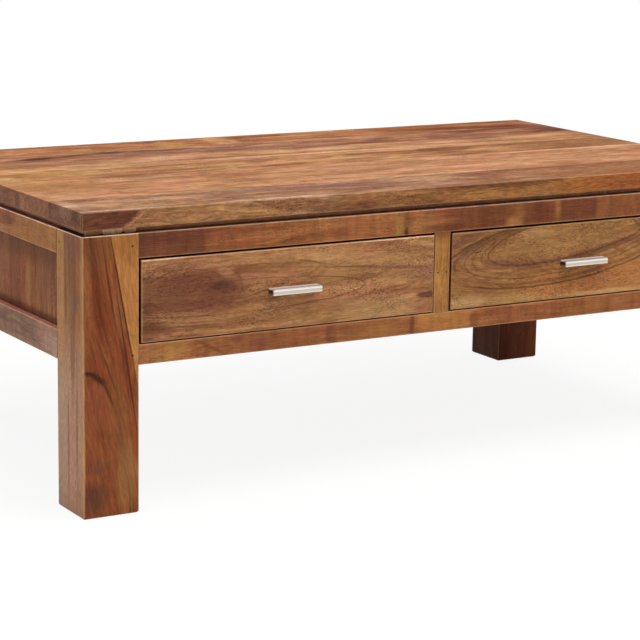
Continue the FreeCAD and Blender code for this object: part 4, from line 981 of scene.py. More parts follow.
@dataclass
class TableTop:
    """Seven planks, edge to edge, from the front to the back."""

    gold: str = "#b28148"  # golden patches
    dark: str = "#6a3f28"  # dark streaks
    pale: str = "#d6a67c"  # pale streaks
    purple: str = "#80594a"  # purplish bands of the front plank

    def finish(self, tone: Tone, **settings: float) -> LacqueredAcacia:
        """Give a plank's finish, with short broad figure and fine straight lines.

        Args:
            tone: colours of the plank's heartwood.
            settings: values that this plank has of its own.

        Returns:
            The finish.
        """
        return LacqueredAcacia(tone, streak=(120.0, 22.0), cloud=(150.0, 34.0), clouding=0.7, streaking=0.45,
                               veining=0.3, wander=9.0, fibre=(20.0, 3.0), thread=0.86, line=(170.0, 2.2),
                               lining=0.24, fleck=(22.0, 5.0), flecking=0.14, flush=0.008, wear_and_highlight=0.25,
                               **settings)

    def edge_marks(self) -> tuple[Mark, ...]:
        """Place the marks of the front plank's outer edge.

        They are gold with brown boats at the left, smooth brown at the right and a maroon left end.

        Returns:
            The marks.
        """
        skin = 2.5
        rows = (
            ("#9a6c42", (-365.0, 392.0), (140.0, 22.0), 0.75, 0.0),
            ("#8e5c32", (-60.0, 390.0), (125.0, 20.0), 0.75, 0.0),
            ("#744a2e", (-195.0, 391.0), (75.0, 9.0), 0.55, -6.0),
            ("#c2925c", (-315.0, 393.0), (60.0, 3.5), 0.45, -7.0),
            ("#673c26", (-125.0, 388.0), (18.0, 7.0), 0.6, 0.0),
            ("#6f4229", (-45.0, 389.0), (40.0, 6.0), 0.5, -8.0),
            ("#6c4026", (-15.0, 404.0), (40.0, 2.0), 0.5, 0.0),
            ("#bc8a58", (-478.0, 391.0), (20.0, 3.0), 0.4, 32.0),
        )
        smooth_rows = (
            ("#946031", (165.0, 388.0), (130.0, 20.0), 0.8, 0.0),
            ("#925427", (340.0, 392.0), (135.0, 26.0), 0.8, 0.0),
            ("#66391f", (95.0, 406.0), (108.0, 10.5), 0.85, 0.0),
        )
        patches = tuple(Mark.on_front(*row, soft=0.35, depth=skin) for row in rows)
        calm = tuple(Mark.on_front(*row, soft=0.35, depth=skin, smooth=True) for row in smooth_rows)
        end = Mark.on_front("#5e3020", (-553.0, 407.0), (84.0, 34.0), 0.88, soft=0.06, ragged=0.12,
                            depth=skin)
        return (*patches, *calm, end)

    def front_marks(self) -> tuple[Mark, ...]:
        """Place the marks of the front plank: a brown right part, purplish bands and painted highlights along
        its arrises.

        Returns:
            The marks.
        """
        return (
            Mark.side("#8c5932", (160.0, FRONT, SURFACE), -180.0, 0.6, 0.6),
            Mark.on_top(self.purple, (-215.0, -218.0), (165.0, 15.0), 0.8, -4.0),
            Mark.on_top(self.purple, (-90.0, -234.0), (80.0, 14.0), 0.65, -8.0),
            Mark.on_top("#74492e", (70.0, -281.0), (110.0, 10.0), 0.55, 6.0),
            Mark.on_top("#7a4c34", (-430.0, -218.0), (15.0, 8.0), 0.65),
            Mark.on_top("#8a5e44", (-528.0, -268.0), (24.0, 18.0), 0.3),
            Mark.on_top("#b98a5e", (-440.0, -250.0), (85.0, 30.0), 0.2),
            # Painted highlights along the front arris and the left end's arris
            Mark.on_top("#ecd3bd", (-490.0, -288.5), (70.0, 3.0), 0.5),
            Mark.on_top("#e6c8b0", (-538.0, -235.0), (9.0, 45.0), 0.22),
            Mark.on_top("#ecd3bd", (-280.0, -287.0), (90.0, 4.0), 0.35),
            *self.edge_marks(),
        )

    def marks(self) -> dict[int, tuple[Mark, ...]]:
        """Place the marks that the top shows.

        Returns:
            The marks of each plank by its number.
        """
        return {
            1: self.front_marks(),
            2: (Mark.on_top(self.pale, (70.0, -184.0), (80.0, 5.0), 0.6),),
            3: (
                Mark.on_top(self.gold, (-480.0, -60.0), (60.0, 40.0), 0.35),
                # Painted highlight near the top's left end
                Mark.on_top(self.pale, (-538.0, -165.0), (14.0, 30.0), 0.5),
                Mark.on_top(self.pale, (390.0, -40.0), (175.0, 5.0), 0.55),
                Mark.on_top(self.dark, (-345.0, -36.0), (30.0, 9.0), 0.45),
                Mark.on_top(self.dark, (-290.0, -62.0), (50.0, 6.0), 0.4),
                Mark.on_top(self.dark, (380.0, -31.0), (150.0, 2.6), 0.7),
            ),
            4: (
                Mark.on_top(self.gold, (-485.0, 20.0), (90.0, 50.0), 0.45),
                Mark.on_top("#d8a878", (-530.0, 8.0), (22.0, 18.0), 0.5),
                Mark.side("#7d4f30", (330.0, 15.0, SURFACE), -240.0, 0.5, 0.5),
                Mark.on_top("#86573a", (-340.0, -8.0), (55.0, 14.0), 0.5),
                Mark.on_top("#7b4e33", (-120.0, 28.0), (22.0, 10.0), 0.5, 12.0),
                Mark.on_top("#74482e", (205.0, 4.0), (36.0, 12.0), 0.6, 20.0, ragged=1.2),
                Mark.on_top("#57331f", (208.0, -27.0), (44.0, 5.0), 0.8, ragged=1.0),
                Mark.on_top("#7a4a30", (440.0, -8.0), (80.0, 12.0), 0.45, 4.0),
            ),
            5: (
                Mark.on_top(self.gold, (-480.0, 90.0), (90.0, 50.0), 0.45),
                Mark.on_top("#85503a", (-470.0, 116.0), (80.0, 19.0), 0.65),
                Mark.on_top(self.dark, (-430.0, 62.0), (26.0, 8.0), 0.5),
                Mark.on_top("#7c4d30", (-330.0, 110.0), (60.0, 10.0), 0.45),
                Mark.on_top(self.pale, (85.0, 77.0), (245.0, 6.5), 0.6),
                Mark.on_top("#7c5036", (-120.0, 92.0), (65.0, 5.0), 0.6),
                Mark.on_top("#7a4c36", (365.0, 128.0), (36.0, 9.0), 0.55, 15.0, ragged=1.2),
            ),
            6: (
                Mark.on_top(self.gold, (-500.0, 148.0), (80.0, 20.0), 0.5),
                Mark.on_top("#7d4a3a", (-400.0, 172.0), (90.0, 17.0), 0.6, 7.0),
                Mark.on_top("#855a4a", (-130.0, 168.0), (190.0, 16.0), 0.55, -3.0),
                Mark.on_top("#c9946c", (-90.0, 206.0), (45.0, 11.0), 0.5),
                Mark.on_top("#3a180e", (-402.0, 182.0), (32.0, 10.0), 0.85, 8.0, ragged=1.2),
                Mark.on_top("#4a2518", (-340.0, 195.0), (26.0, 7.0), 0.75, 10.0, ragged=1.2),
                Mark.on_top("#4a2518", (-272.0, 206.0), (26.0, 7.0), 0.75, ragged=1.2),
                Mark.on_top("#4f2b1c", (-222.0, 202.0), (20.0, 6.0), 0.7, -6.0, ragged=1.2),
                Mark.on_top("#553020", (-180.0, 194.0), (20.0, 6.0), 0.65, -8.0, ragged=1.2),
                Mark.on_top(self.dark, (185.0, 178.0), (30.0, 8.0), 0.5, 12.0),
                Mark.on_top("#6c3020", (440.0, 213.0), (100.0, 9.0), 0.75, 2.0),
                Mark.on_top("#674032", (533.0, 200.0), (40.0, 20.0), 0.75),
            ),
            7: (
                Mark.on_top(self.gold, (-153.0, 254.0), (24.0, 34.0), 0.8, soft=0.2, ragged=0.4),
                Mark.on_top("#c49160", (-60.0, 256.0), (24.0, 44.0), 0.7, soft=0.4, ragged=1.0),
                Mark.on_top("#824630", (110.0, 232.0), (70.0, 9.0), 0.55, ragged=1.0),
                Mark.on_top("#854a24", (310.0, 258.0), (80.0, 36.0), 0.65),
                Mark.on_top("#6a301c", (430.0, 242.0), (115.0, 19.0), 0.85, -5.0, ragged=1.0),
            ),
        }

    def dress(self) -> None:
        """Finish the planks."""
        front = replace(self.finish(CHESTNUT), pitting=0.6, thread=0.78, fleck=(12.0, 2.6), flecking=0.22)
        rows = (
            (front, Cut(pith=(0.0, 25.0, -80.0), tilt=(0.0, 1.2, -1.5), seed=3.0)),
            (self.finish(HONEY, band=16.0), Cut(pith=(0.0, 10.0, 60.0), tilt=(0.0, -0.6, 0.6), seed=5.0)),
            (self.finish(HONEY, band=30.0), Cut(pith=(0.0, -15.0, -75.0), tilt=(0.0, 0.9, 0.4), seed=8.0)),
            (self.finish(AMBER), Cut(pith=(0.0, 12.0, -60.0), tilt=(0.0, -1.0, 0.8), seed=13.0)),
            (self.finish(FAWN), Cut(pith=(0.0, -20.0, 66.0), tilt=(0.0, 0.7, -0.7), seed=21.0)),
            (self.finish(ROSE, band=18.0), Cut(pith=(0.0, 18.0, -55.0), tilt=(0.0, 1.1, 0.5), seed=34.0)),
            (self.finish(RUST), Cut(pith=(0.0, 0.0, -70.0), tilt=(0.0, -0.9, 0.3), seed=55.0)),
        )
        marks = self.marks()
        for number, (finish, cut) in enumerate(rows, start=1):
            node = f"top_plank_{number}"
            dress(node, finish.material(node, cut, marks[number]))


@dataclass
class CaseFrame:
    """Four legs, eight rails and the muntin, with the stepped head that makes the shadow gap."""

    step: float = 8.0  # millimetres that the stepped head lies behind the front
    sap: str = "#b27b40"  # sapwood of the left front leg

    def head_marks(self, colour: str, ledge: str = "#1a0e08", wear_and_highlight: float = 0.8) -> tuple[Mark, ...]:
        """Mark the stepped head: the arris, paled by wear and painted highlight, the ledge, darkened as
        painted shade, and the strip in the gap.

        Args:
            colour: hex colour of the strip.
            ledge: hex colour of the ledge, darkened as painted shade.
            wear_and_highlight: how much the arris is paled, by wear and painted highlight.

        Returns:
            The three marks.
        """
        return (
            # Paled arris of the step: wear and a painted highlight
            Mark("#e6c4ac", (0.0, 0.0, LEDGE - 0.6), (WHOLE, WHOLE, 0.9), strength=wear_and_highlight, ragged=0.2),
            # Darkened ledge: painted shade in the gap
            Mark.side(ledge, (0.0, 0.0, LEDGE - 0.1), 0.1, 0.95, 0.3, ABOVE, 0.0),
            Mark.side(colour, (0.0, 0.0, LEDGE + 1.5), 1.0, 0.95, 0.3, ABOVE, 0.0),
        )

    def front_leg_marks(self) -> tuple[Mark, ...]:
        """Place the marks of the left front leg.

        They are pale sapwood with dark lines along it, a red streak, a knot's dark brow, stains, a dark head
        and the marks of the left face, the stepped head and the gap.

        Returns:
            The marks.
        """
        line = "#45200f"
        knot = (-548.0, -10.0)
        sap_lean = 10.8
        rows = (
            ("#8c5430", (-544.0, 300.0), (6.0, 80.0), 0.5, 0.0),
            ("#662a18", (-530.0, 292.0), (5.5, 60.0), 0.7, 5.0),
            ("#8e5330", (-534.0, 150.0), (14.0, 34.0), 0.5, 0.0),
            ("#6f4230", (-532.0, 68.0), (18.0, 9.0), 0.5, 0.0),
            ("#573628", (-534.0, 27.0), (17.0, 20.0), 0.75, 0.0),
            ("#98693e", (-487.0, 55.0), (14.0, 46.0), 0.55, 0.0),
            ("#8a5230", (-516.0, 150.0), (7.0, 30.0), 0.4, 20.0),
            ("#633a26", (-528.0, 356.0), (22.0, 26.0), 0.45, 0.0),
            ("#965f36", (-498.0, 262.0), (8.0, 32.0), 0.6, sap_lean),
            (line, (-512.0, 305.0), (1.2, 58.0), 0.7, 9.3),
            (line, (-516.0, 202.0), (1.3, 44.0), 0.5, 21.0),
        )
        return (
            Mark.arch("#3c1d0e", knot, (64.6, 206.0), 0.85, soft=3.4, ragged=3.0),
            Mark.on_front("#80482a", (-499.0, 100.0), (16.0, 66.0), 0.75),
            *(Mark.on_front(*row) for row in rows),
            Mark.on_front("#3a2414", (-541.0, 194.5), (11.0, 3.2), 0.6, -6.0),
            Mark.on_front("#3a2414", (-528.0, 186.5), (12.0, 4.0), 0.75, -34.0),
            Mark.side(self.sap, (-494.0, FRONT, 293.0), -1.6, 0.9, 0.5, (0.0, -sap_lean, 0.0), 1.6),
            Mark.on_front("#98632f", (-487.0, 360.0), (20.0, 26.0), 0.8),
            Mark.on_front(line, (-495.0, 290.0), (1.1, 90.0), 0.75, sap_lean),
            Mark.on_front(line, (-486.0, 197.0), (1.3, 98.0), 0.75, 8.9),
            *self.side_leg_marks(),
            *self.head_marks("#b98560", "#2e170d"),
            *self.brass_marks(),
        )

    def side_leg_marks(self) -> tuple[Mark, ...]:
        """Place the marks of the left front leg's left face.

        They are a paler, greyer lower part of painted floor light and reflection, a dark head, dark streaks,
        a golden strip at the back and a pale greyish patch on it.

        Returns:
            The marks.
        """
        rows = (
            # Paler, greyer lower part: painted light and reflection from the floor
            ("#b58b70", (-252.0, 120.0), (60.0, 150.0), 0.8),
            ("#93602c", (-262.0, 310.0), (40.0, 95.0), 0.6),
            ("#64403e", (-258.0, 358.0), (26.0, 22.0), 0.4),
            ("#6f4226", (-262.0, 255.0), (7.0, 100.0), 0.5),
            ("#74482c", (-274.0, 120.0), (3.5, 90.0), 0.5),
            ("#5f3820", (-269.0, 310.0), (2.0, 60.0), 0.6),
            ("#5f341c", (-252.0, 330.0), (2.2, 44.0), 0.65),
            ("#6b4020", (-241.0, 300.0), (2.6, 44.0), 0.65),
            ("#6b483e", (-272.0, 284.0), (6.0, 12.0), 0.6),
            ("#74482c", (-247.0, 90.0), (2.5, 70.0), 0.5),
            ("#ac8050", (-290.0, 200.0), (5.0, 220.0), 0.6),
        )
        strip = Mark.side("#aa7c46", (LEFT, -235.0, 200.0), -6.0, 0.85, 0.25, IN_FRONT, 0.6)
        pale_patch = Mark.on_left("#a98e7c", (-222.0, 70.0), (17.0, 125.0), 0.65)
        return (*(Mark.on_left(*row) for row in rows), strip, pale_patch)

    def brass_marks(self) -> tuple[Mark, ...]:
        """Place the brassy blocks in the gap over the left front leg.

        Returns:
            The marks.
        """
        deep = FRONT + self.step
        level = LEDGE + 4.0
        blocks = ((-532.0, 13.0, "#c59061"), (-504.0, 14.0, "#ffd8a4"), (-478.0, 9.0, "#e8b67e"))
        return tuple(Mark(colour, (x, deep, level), (reach, 3.0, 8.0), strength=1.0, soft=0.15, ragged=0.4)
                     for x, reach, colour in blocks)

    def dress_legs(self) -> None:
        """Finish the legs."""
        upright = Grain.UPRIGHT
        node = "left_front_leg"
        finish = LacqueredAcacia(RUSSET, band=14.0, vein=4.5, veining=0.2, stray=7.0, clouding=0.55,
                                 streaking=0.35, pitting=0.14)
        lean = Cut(upright, (-70.0, 10.0, 60.0), (0.0, -10.0, 0.0), 2.0)
        dress(node, finish.material(node, lean, self.front_leg_marks()))
        rows = (
            ("right_front_leg", RUSSET, Cut(upright, (40.0, 30.0, 0.0), (2.0, 4.0, 0.0), 7.0)),
            ("left_back_leg", RUSSET, Cut(upright, (-50.0, -20.0, 0.0), (3.0, -3.0, 0.0), 11.0)),
            # Painted shade: this leg stands in the table's shadow, so its tone is darkened
            ("right_back_leg", PAINTED_SHADE_RUSSET, Cut(upright, (30.0, -45.0, 0.0), (-3.0, 2.0, 0.0), 17.0)),
        )
        for node, tone, cut in rows:
            dress(node, LacqueredAcacia(tone).material(node, cut, self.head_marks("#8a6650")))

    def upper_rail_marks(self) -> tuple[Mark, ...]:
        """Place the marks of the front upper rail.

        They are a dark left end, golden patches, maroon cross bands and a brown right part.

        Returns:
            The marks.
        """
        level = 357.0
        rows = (
            ("#98703c", (-72.0, 358.0), (9.0, 30.0), 0.6),
            ("#70432e", (-60.0, 352.0), (5.0, 24.0), 0.55),
            ("#3f1f14", (-61.0, 343.0), (3.0, 8.0), 0.8),
            ("#a06f3e", (-34.0, 354.0), (21.0, 10.0), 0.6),
            ("#653420", (0.0, 346.0), (32.0, 10.0), 0.75),
            ("#66351f", (78.0, 357.0), (45.0, 26.0), 0.5),
            ("#a06c3c", (130.0, 356.0), (8.0, 15.0), 0.5),
            ("#b27c42", (119.0, 345.0), (11.0, 9.0), 0.6),
            ("#65331f", (166.0, 357.0), (24.0, 28.0), 0.5),
            ("#a8743f", (197.0, 362.0), (5.0, 13.0), 0.5),
            ("#672f22", (236.0, 357.0), (32.0, 28.0), 0.45),
            ("#6e3c22", (330.0, 364.0), (22.0, 12.0), 0.5),
        )
        return (
            Mark.side("#643726", (-376.0, FRONT, level), 1.5, 0.5, 0.5, ragged=0.0),
            Mark.side("#643726", (-368.0, FRONT, level), 24.0, 0.6, 0.6),
            Mark.side("#713e26", (10.0, FRONT, level), -22.0, 0.75, 0.6),
            *(Mark.on_front(*row, soft=0.6, ragged=1.0) for row in rows),
            Mark.side("#8a532f", (266.0, FRONT, level), -5.0, 0.65, 0.6),
        )

    def lower_rail_marks(self) -> tuple[Mark, ...]:
        """Place the marks of the front lower rail: golden patches, dark cross bands and a brown right part.

        Returns:
            The marks.
        """
        rows = (
            ("#ad7b42", (-428.0, 213.0), (30.0, 13.0), 0.65, 0.0),
            ("#86512f", (-300.0, 214.0), (95.0, 22.0), 0.5, 0.0),
            ("#6c3d28", (-365.0, 213.0), (32.0, 2.4), 0.55, -28.0),
            ("#6a3c2e", (-326.0, 222.0), (9.0, 7.0), 0.55, 0.0),
            ("#704030", (-293.0, 210.0), (14.0, 14.0), 0.45, 0.0),
            ("#6a3c2c", (-179.0, 213.0), (9.0, 20.0), 0.65, 0.0),
            ("#7d4828", (-120.0, 216.0), (70.0, 12.0), 0.5, 0.0),
            ("#a26f3a", (-92.0, 209.0), (36.0, 11.0), 0.5, 0.0),
            ("#ab783c", (2.0, 214.0), (48.0, 17.0), 0.6, 0.0),
            ("#6c3e24", (-48.0, 213.0), (4.0, 20.0), 0.7, 0.0),
            ("#70391f", (57.0, 212.0), (8.0, 10.0), 0.55, 0.0),
            ("#74402a", (117.0, 213.0), (4.0, 18.0), 0.5, 0.0),
            ("#7a3a20", (291.0, 212.0), (6.0, 18.0), 0.55, 0.0),
        )
        return (
            *(Mark.on_front(*row, soft=0.4) for row in rows),
            Mark.side("#8a4f2a", (60.0, FRONT, 212.0), -24.0, 0.55, 0.6),
        )

    def dress_rails(self) -> None:
        """Finish the rails and the muntin."""
        head = self.head_marks("#8a6650")
        front_head = self.head_marks("#9c6a4b", "#785239", 0.3)
        left_head = self.head_marks("#a06a50", "#6a3c2c")
        golden = Mark.side("#9c6934", (LEFT, -80.0, 357.0), 30.0, 0.75, 0.7, IN_FRONT)
        pink = Mark.side("#a2745a", (LEFT, -150.0, 215.0), 24.0, 0.6, 0.8, IN_FRONT)
        pale_patch = Mark.on_left("#c09a84", (-190.0, 214.0), (26.0, 16.0), 0.5)
        # Top arris of the left lower rail, a painted highlight
        arris = Mark("#cf8b78", (LEFT, 0.0, 239.5), (WHOLE, WHOLE, 1.4), strength=0.8, soft=0.3, ragged=1.2)
        joint = Mark.on_front("#7d4729", (-2.0, 341.0), (40.0, 9.0), 0.75)
        across = Grain.CROSSWISE
        rows = (
            ("front_upper_rail", COPPER, Cut(pith=(0.0, 60.0, 10.0), tilt=(0.0, 1.0, 1.5), seed=4.0),
             (*self.upper_rail_marks(), *front_head)),
            ("front_lower_rail", TAN, Cut(pith=(0.0, 40.0, -30.0), tilt=(0.0, 0.8, -1.0), seed=6.0),
             self.lower_rail_marks()),
            ("back_upper_rail", COPPER, Cut(pith=(0.0, -50.0, 12.0), tilt=(0.0, -0.8, 1.1), seed=9.0), head),
            ("back_lower_rail", TAN, Cut(pith=(0.0, -44.0, -20.0), tilt=(0.0, 1.2, 0.6), seed=12.0), ()),
            ("left_upper_rail", TAN, Cut(across, (40.0, 0.0, 12.0), (0.8, 0.0, 1.0), 14.0),
             (golden, *left_head)),
            ("left_lower_rail", CLAY, Cut(across, (36.0, 0.0, -24.0), (-0.8, 0.0, 1.2), 16.0),
             (pink, pale_patch, arris)),
            ("right_upper_rail", COPPER, Cut(across, (-44.0, 0.0, 10.0), (0.7, 0.0, -1.0), 18.0), head),
            ("right_lower_rail", TAN, Cut(across, (-40.0, 0.0, -20.0), (1.0, 0.0, 0.8), 19.0), ()),
            ("centre_muntin", GOLD, Cut(Grain.UPRIGHT, (20.0, 50.0, 0.0), (1.0, 1.5, 0.0), 23.0), (joint,)),
        )
        for node, tone, cut, marks in rows:
            finish = LacqueredAcacia(tone, band=18.0, veining=0.3, flecking=0.08, curl=0.14,
                                     curl_size=(13.0, 60.0), pitting=0.4)
            dress(node, finish.material(node, cut, marks))

    def dress(self) -> None:
        """Finish the legs, the rails and the muntin."""
        self.dress_legs()
        self.dress_rails()


@dataclass
class Panels:
    """Panels of glued upright staves in the grooves of the side and back rails."""

    stave: float = 37.0  # width of one stave in millimetres
    tints: tuple[str, ...] = ("#683718", "#a46e48", "#7a4524", "#925c38")  # of the staves, in turn

    def stave_marks(self, low: Vector, high: Vector, axis: int) -> tuple[Mark, ...]:
        """Tint the staves, from one end of a panel to the other.

        Args:
            low: lowest corner of the panel, in metres.
            high: highest corner of the panel, in metres.
            axis: 0 for a panel across the table, 1 for one along its depth.

        Returns:
            One mark for each stave after the first.
        """
        marks = []
        place = list((low + high) / 2 / MM)
        start = low[axis] / MM
        turn = IN_FRONT if axis else (0.0, 0.0, 0.0)
        for number in range(1, int((high[axis] - low[axis]) / MM / self.stave)):
            place[axis] = start + number * self.stave
            tint = self.tints[number % len(self.tints)]
            marks.append(Mark.side(tint, tuple(place), -1.5, 0.45, 0.5, turn, 0.0))
        return tuple(marks)

    def left_marks(self) -> tuple[Mark, ...]:
        """Place the marks that the left panel alone shows.

        They are a dark upper part of painted shade under the rail, a rosy and a dull patch, a golden strip
        and a dark foot of painted shadow.

        Returns:
            The marks.
        """
        rows = (
            # Painted shade under the upper rail
            ("#54301c", (-110.0, 336.0), (300.0, 24.0), 0.55),
            ("#7a4432", (-40.0, 270.0), (45.0, 50.0), 0.4),
            ("#5e3f2d", (-165.0, 288.0), (42.0, 50.0), 0.4),
            ("#9c7044", (-98.0, 276.0), (8.0, 34.0), 0.6),
            # Painted shadow along the foot, above the lower rail
            ("#421809", (0.0, 242.0), (WHOLE, 8.0), 0.6),
        )
        return tuple(Mark.on_left(*row, depth=40.0) for row in rows)

    def dress(self) -> None:
        """Finish the three panels."""
        rows = (
            ("left_panel", 1, Cut(Grain.UPRIGHT, (60.0, 0.0, 0.0), (0.0, 1.0, 0.0), 25.0), self.left_marks()),
            ("right_panel", 1, Cut(Grain.UPRIGHT, (-60.0, 0.0, 0.0), (0.0, -1.0, 0.0), 27.0), ()),
            ("back_panel", 0, Cut(Grain.UPRIGHT, (0.0, -60.0, 0.0), (1.0, 0.0, 0.0), 29.0), ()),
        )
        for node, axis, cut, more in rows:
            marks = (*self.stave_marks(*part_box(node), axis), *more)
            dress(node, LacqueredAcacia(CHERRY, streaking=0.7, gloss=0.05).material(node, cut, marks))


@dataclass
class DrawerSupports:
    """Runners, bearers, guides, stops and the divider that carry and part the drawers."""

    pieces: tuple[str, ...] = ("centre_divider", "left_runner", "centre_runner", "right_runner",
                               "left_bearer", "centre_bearer", "right_bearer", "left_guide", "right_guide",
                               "drawer_stops")
    seed: float = 60.0  # of the first piece

    def dress(self) -> None:
        """Finish the inner pieces, which are planed but not lacquered."""
        for number, node in enumerate(self.pieces):
            cut = Cut(Grain.CROSSWISE, (15.0, 0.0, -50.0), (0.5, 0.0, 0.7), self.seed + number)
            dress(node, PlanedAcacia(FAWN).material(node, cut))


@dataclass
class Drawer:
    """One drawer: a lacquered front, a plain box behind it and a channel-shaped pull."""

    side: Side
    finish: LacqueredAcacia
    cut: Cut
    marks: tuple[Mark, ...]
    seed: float  # of the box's first board

    def dress(self, aluminium: bpy.types.Material) -> None:
        """Finish the drawer.

        Args:
            aluminium: finish of the pull.
        """
        side = self.side.value
        node = f"{side}_drawer_front"
        dress(node, self.finish.material(node, self.cut, self.marks))
        boards = (("left_side", Grain.CROSSWISE), ("right_side", Grain.CROSSWISE), ("back", Grain.LENGTHWISE))
        for number, (name, grain) in enumerate(boards):
            node = f"{side}_drawer_{name}"
            cut = Cut(grain, (30.0, 30.0, -50.0), (0.4, 0.4, 0.5), self.seed + number)
            dress(node, PlanedAcacia(HONEY).material(node, cut))
        node = f"{side}_drawer_bottom"
        dress(node, SandedPlywood().material(node))
        dress(f"{side}_pull", aluminium)


def left_drawer() -> Drawer:
    """Describe the left drawer, whose front has a knot at its left and a pointed tongue at its right.

    Returns:
        The drawer.
    """
    # The front's strong arris paling is wear and a painted highlight on its lit edges
    finish = LacqueredAcacia(HAZEL, band=12.0, streak=(160.0, 6.0), streaking=0.35, vein=2.6, stray=6.0,
                             ripple=1.5, fleck=(10.0, 2.0), flecking=0.14, wear_and_highlight=0.45,
                             wear_and_highlight_colour="#dcb58c")
    cut = Cut(pith=(-105.0, -10.0, 9.0), tilt=(0.0, 0.0, 6.9), seed=31.0)
    line = "#5a3420"
    tongue = tuple(Mark.arch(line, (-330.0, 278.0), size, strength)
                   for size, strength in (((150.0, 12.0), 0.25), ((203.0, 22.0), 0.7), ((228.0, 36.0), 0.35)))
    clear = Mark.on_front("#ab7c50", (-150.0, 284.0), (56.0, 15.0), 0.25)
    # Painted highlights along the front's upper arris
    arrises = tuple(Mark("#f0cda6", (x, FRONT, 337.0), (reach, 2.5, 1.3), strength=0.65, soft=0.4, ragged=0.3)
                    for x, reach in ((-440.0, 45.0), (-75.0, 60.0)))
    flatness = 0.46
    rings = tuple(Mark.arch(line, (-400.0, 293.0), (reach, flatness * reach), 0.35, soft=1.6, ragged=5.0)
                  for reach in (42.0, 60.0, 82.0))
    rows = (
        ("#a3744a", (-250.0, 303.0), (70.0, 12.0), 0.4, 0.0),
        ("#a67a4e", (-125.0, 302.0), (64.0, 11.0), 0.6, -4.0),
        ("#ad7e50", (-170.0, 326.0), (130.0, 14.0), 0.45, -3.0),
        ("#b48a5c", (-105.0, 243.0), (75.0, 16.0), 0.5, 0.0),
        ("#a87a4c", (-260.0, 250.0), (80.0, 18.0), 0.25, 0.0),
        ("#71412f", (-402.0, 291.0), (84.0, 34.0), 0.8, 0.0),
        ("#70432e", (-350.0, 288.0), (27.0, 17.0), 0.6, 0.0),
        ("#b08158", (-343.0, 315.0), (13.0, 9.0), 0.5, -30.0),
        ("#4f301f", (-350.0, 295.0), (14.0, 6.0), 0.8, 0.0),
        ("#5e3222", (-458.0, 250.0), (15.0, 26.0), 0.55, 0.0),
        ("#8a5836", (-335.0, 253.0), (40.0, 12.0), 0.5, 0.0),
        ("#8a5a38", (-191.0, 244.0), (36.0, 10.0), 0.4, 0.0),
        ("#8a5a3a", (-42.0, 272.0), (20.0, 12.0), 0.45, 0.0),
        ("#8c5c3c", (-32.0, 240.0), (22.0, 10.0), 0.5, 0.0),
        ("#6a3a28", (-450.0, 247.0), (17.0, 9.0), 0.6, 0.0),
        ("#6a3a28", (-430.0, 240.0), (16.0, 6.0), 0.5, 0.0),
        (line, (-212.0, 316.0), (34.0, 1.3), 0.4, -12.0),
        (line, (-142.0, 303.5), (48.0, 1.4), 0.6, -4.0),
        ("#74483c", (-58.0, 296.0), (50.0, 2.2), 0.6, -4.0),
        ("#8a5c48", (-24.0, 284.0), (20.0, 10.0), 0.6, 0.0),
    )
    patches = tuple(Mark.on_front(*row) for row in rows)
    dash = Mark.on_front("#5a342a", (-14.0, 254.5), (29.0, 4.2), 0.85, soft=0.25, ragged=0.4)
    block = Mark.on_front("#643a2e", (-339.0, 291.0), (13.0, 8.0), 0.6, soft=0.25, ragged=0.4)
    return Drawer(Side.LEFT, finish, cut, (clear, *tongue, *patches, dash, block, *rings, *arrises), 80.0)


def right_drawer() -> Drawer:
    """Describe the right drawer, whose front shows nested arches that point to the left.

    Returns:
        The drawer.
    """
    finish = LacqueredAcacia(WALNUT, band=4.5, streak=(160.0, 6.0), streaking=0.35, vein=1.8, stray=3.0,
                             ripple=0.8, clouding=0.4, fleck=(10.0, 2.0), flecking=0.16)
    cut = Cut(pith=(0.0, 57.5, 8.0), tilt=(0.0, 0.0, -6.9), seed=37.0)
    line = "#54331d"
    rows = (
        ("#9e7443", (215.0, 315.0), (120.0, 24.0), 0.6, 7.0),
        ("#b0733f", (265.0, 252.0), (145.0, 30.0), 0.75, 0.0),
        ("#b48a58", (158.0, 327.0), (24.0, 8.0), 0.5, 0.0),
        ("#70483a", (38.0, 328.0), (42.0, 7.0), 0.65, 18.0),
        ("#7a5040", (46.0, 309.0), (38.0, 5.0), 0.5, 28.0),
        ("#74493a", (112.0, 287.0), (42.0, 5.0), 0.65, -8.0),
        ("#74493a", (188.0, 284.5), (62.0, 4.5), 0.6, 3.0),
        ("#6b4030", (280.0, 297.0), (66.0, 5.0), 0.65, 11.0),
        ("#c49e6c", (42.0, 237.0), (36.0, 9.0), 0.5, 0.0),
        ("#bb955f", (115.0, 235.0), (55.0, 6.0), 0.4, 0.0),
        ("#c29c6a", (290.0, 231.5), (100.0, 4.0), 0.5, 0.0),
        ("#5f3c28", (342.0, 330.0), (14.0, 2.5), 0.6, -38.0),
    )
    patches = tuple(Mark.on_front(*row) for row in rows)
    # Each arch is the innermost one, moved, grown and turned by its step
    steps = (
        (0.0, 2.6, 0.6), (0.2, 1.8, 0.45), (0.42, 3.8, 0.4), (0.62, 2.2, 0.5), (0.9, 4.4, 0.5),
        (1.1, 2.8, 0.75),
    )
    arches = []
    for step, soft, strength in steps:
        middle = (224.0 - 20.0 * step, 319.0 - 17.0 * step)
        size = (148.0 + 43.0 * step, 31.0 + 15.0 * step)
        rise = 7.7 - 2.8 * step
        arches.append(Mark.arch(line, middle, size, strength, rise, soft, ragged=6.0))
    veil = Mark.on_front("#8f6036", (34.0, 268.0), (26.0, 12.0), 0.7)
    return Drawer(Side.RIGHT, finish, cut, (*patches, *arches, veil), 90.0)


@dataclass
class Fasteners:
    """Pins, nails and screws of the whole table."""

    pieces: tuple[str, ...] = ("frame_pins", "muntin_nails", "guide_screws", "top_screws",
                               "left_drawer_nails", "right_drawer_nails", "left_pull_screws",
                               "right_pull_screws")

    def dress(self) -> None:
        """Finish the pins, nails and screws."""
        steel = DrawnSteel().material()
        for node in self.pieces:
            dress(node, steel)


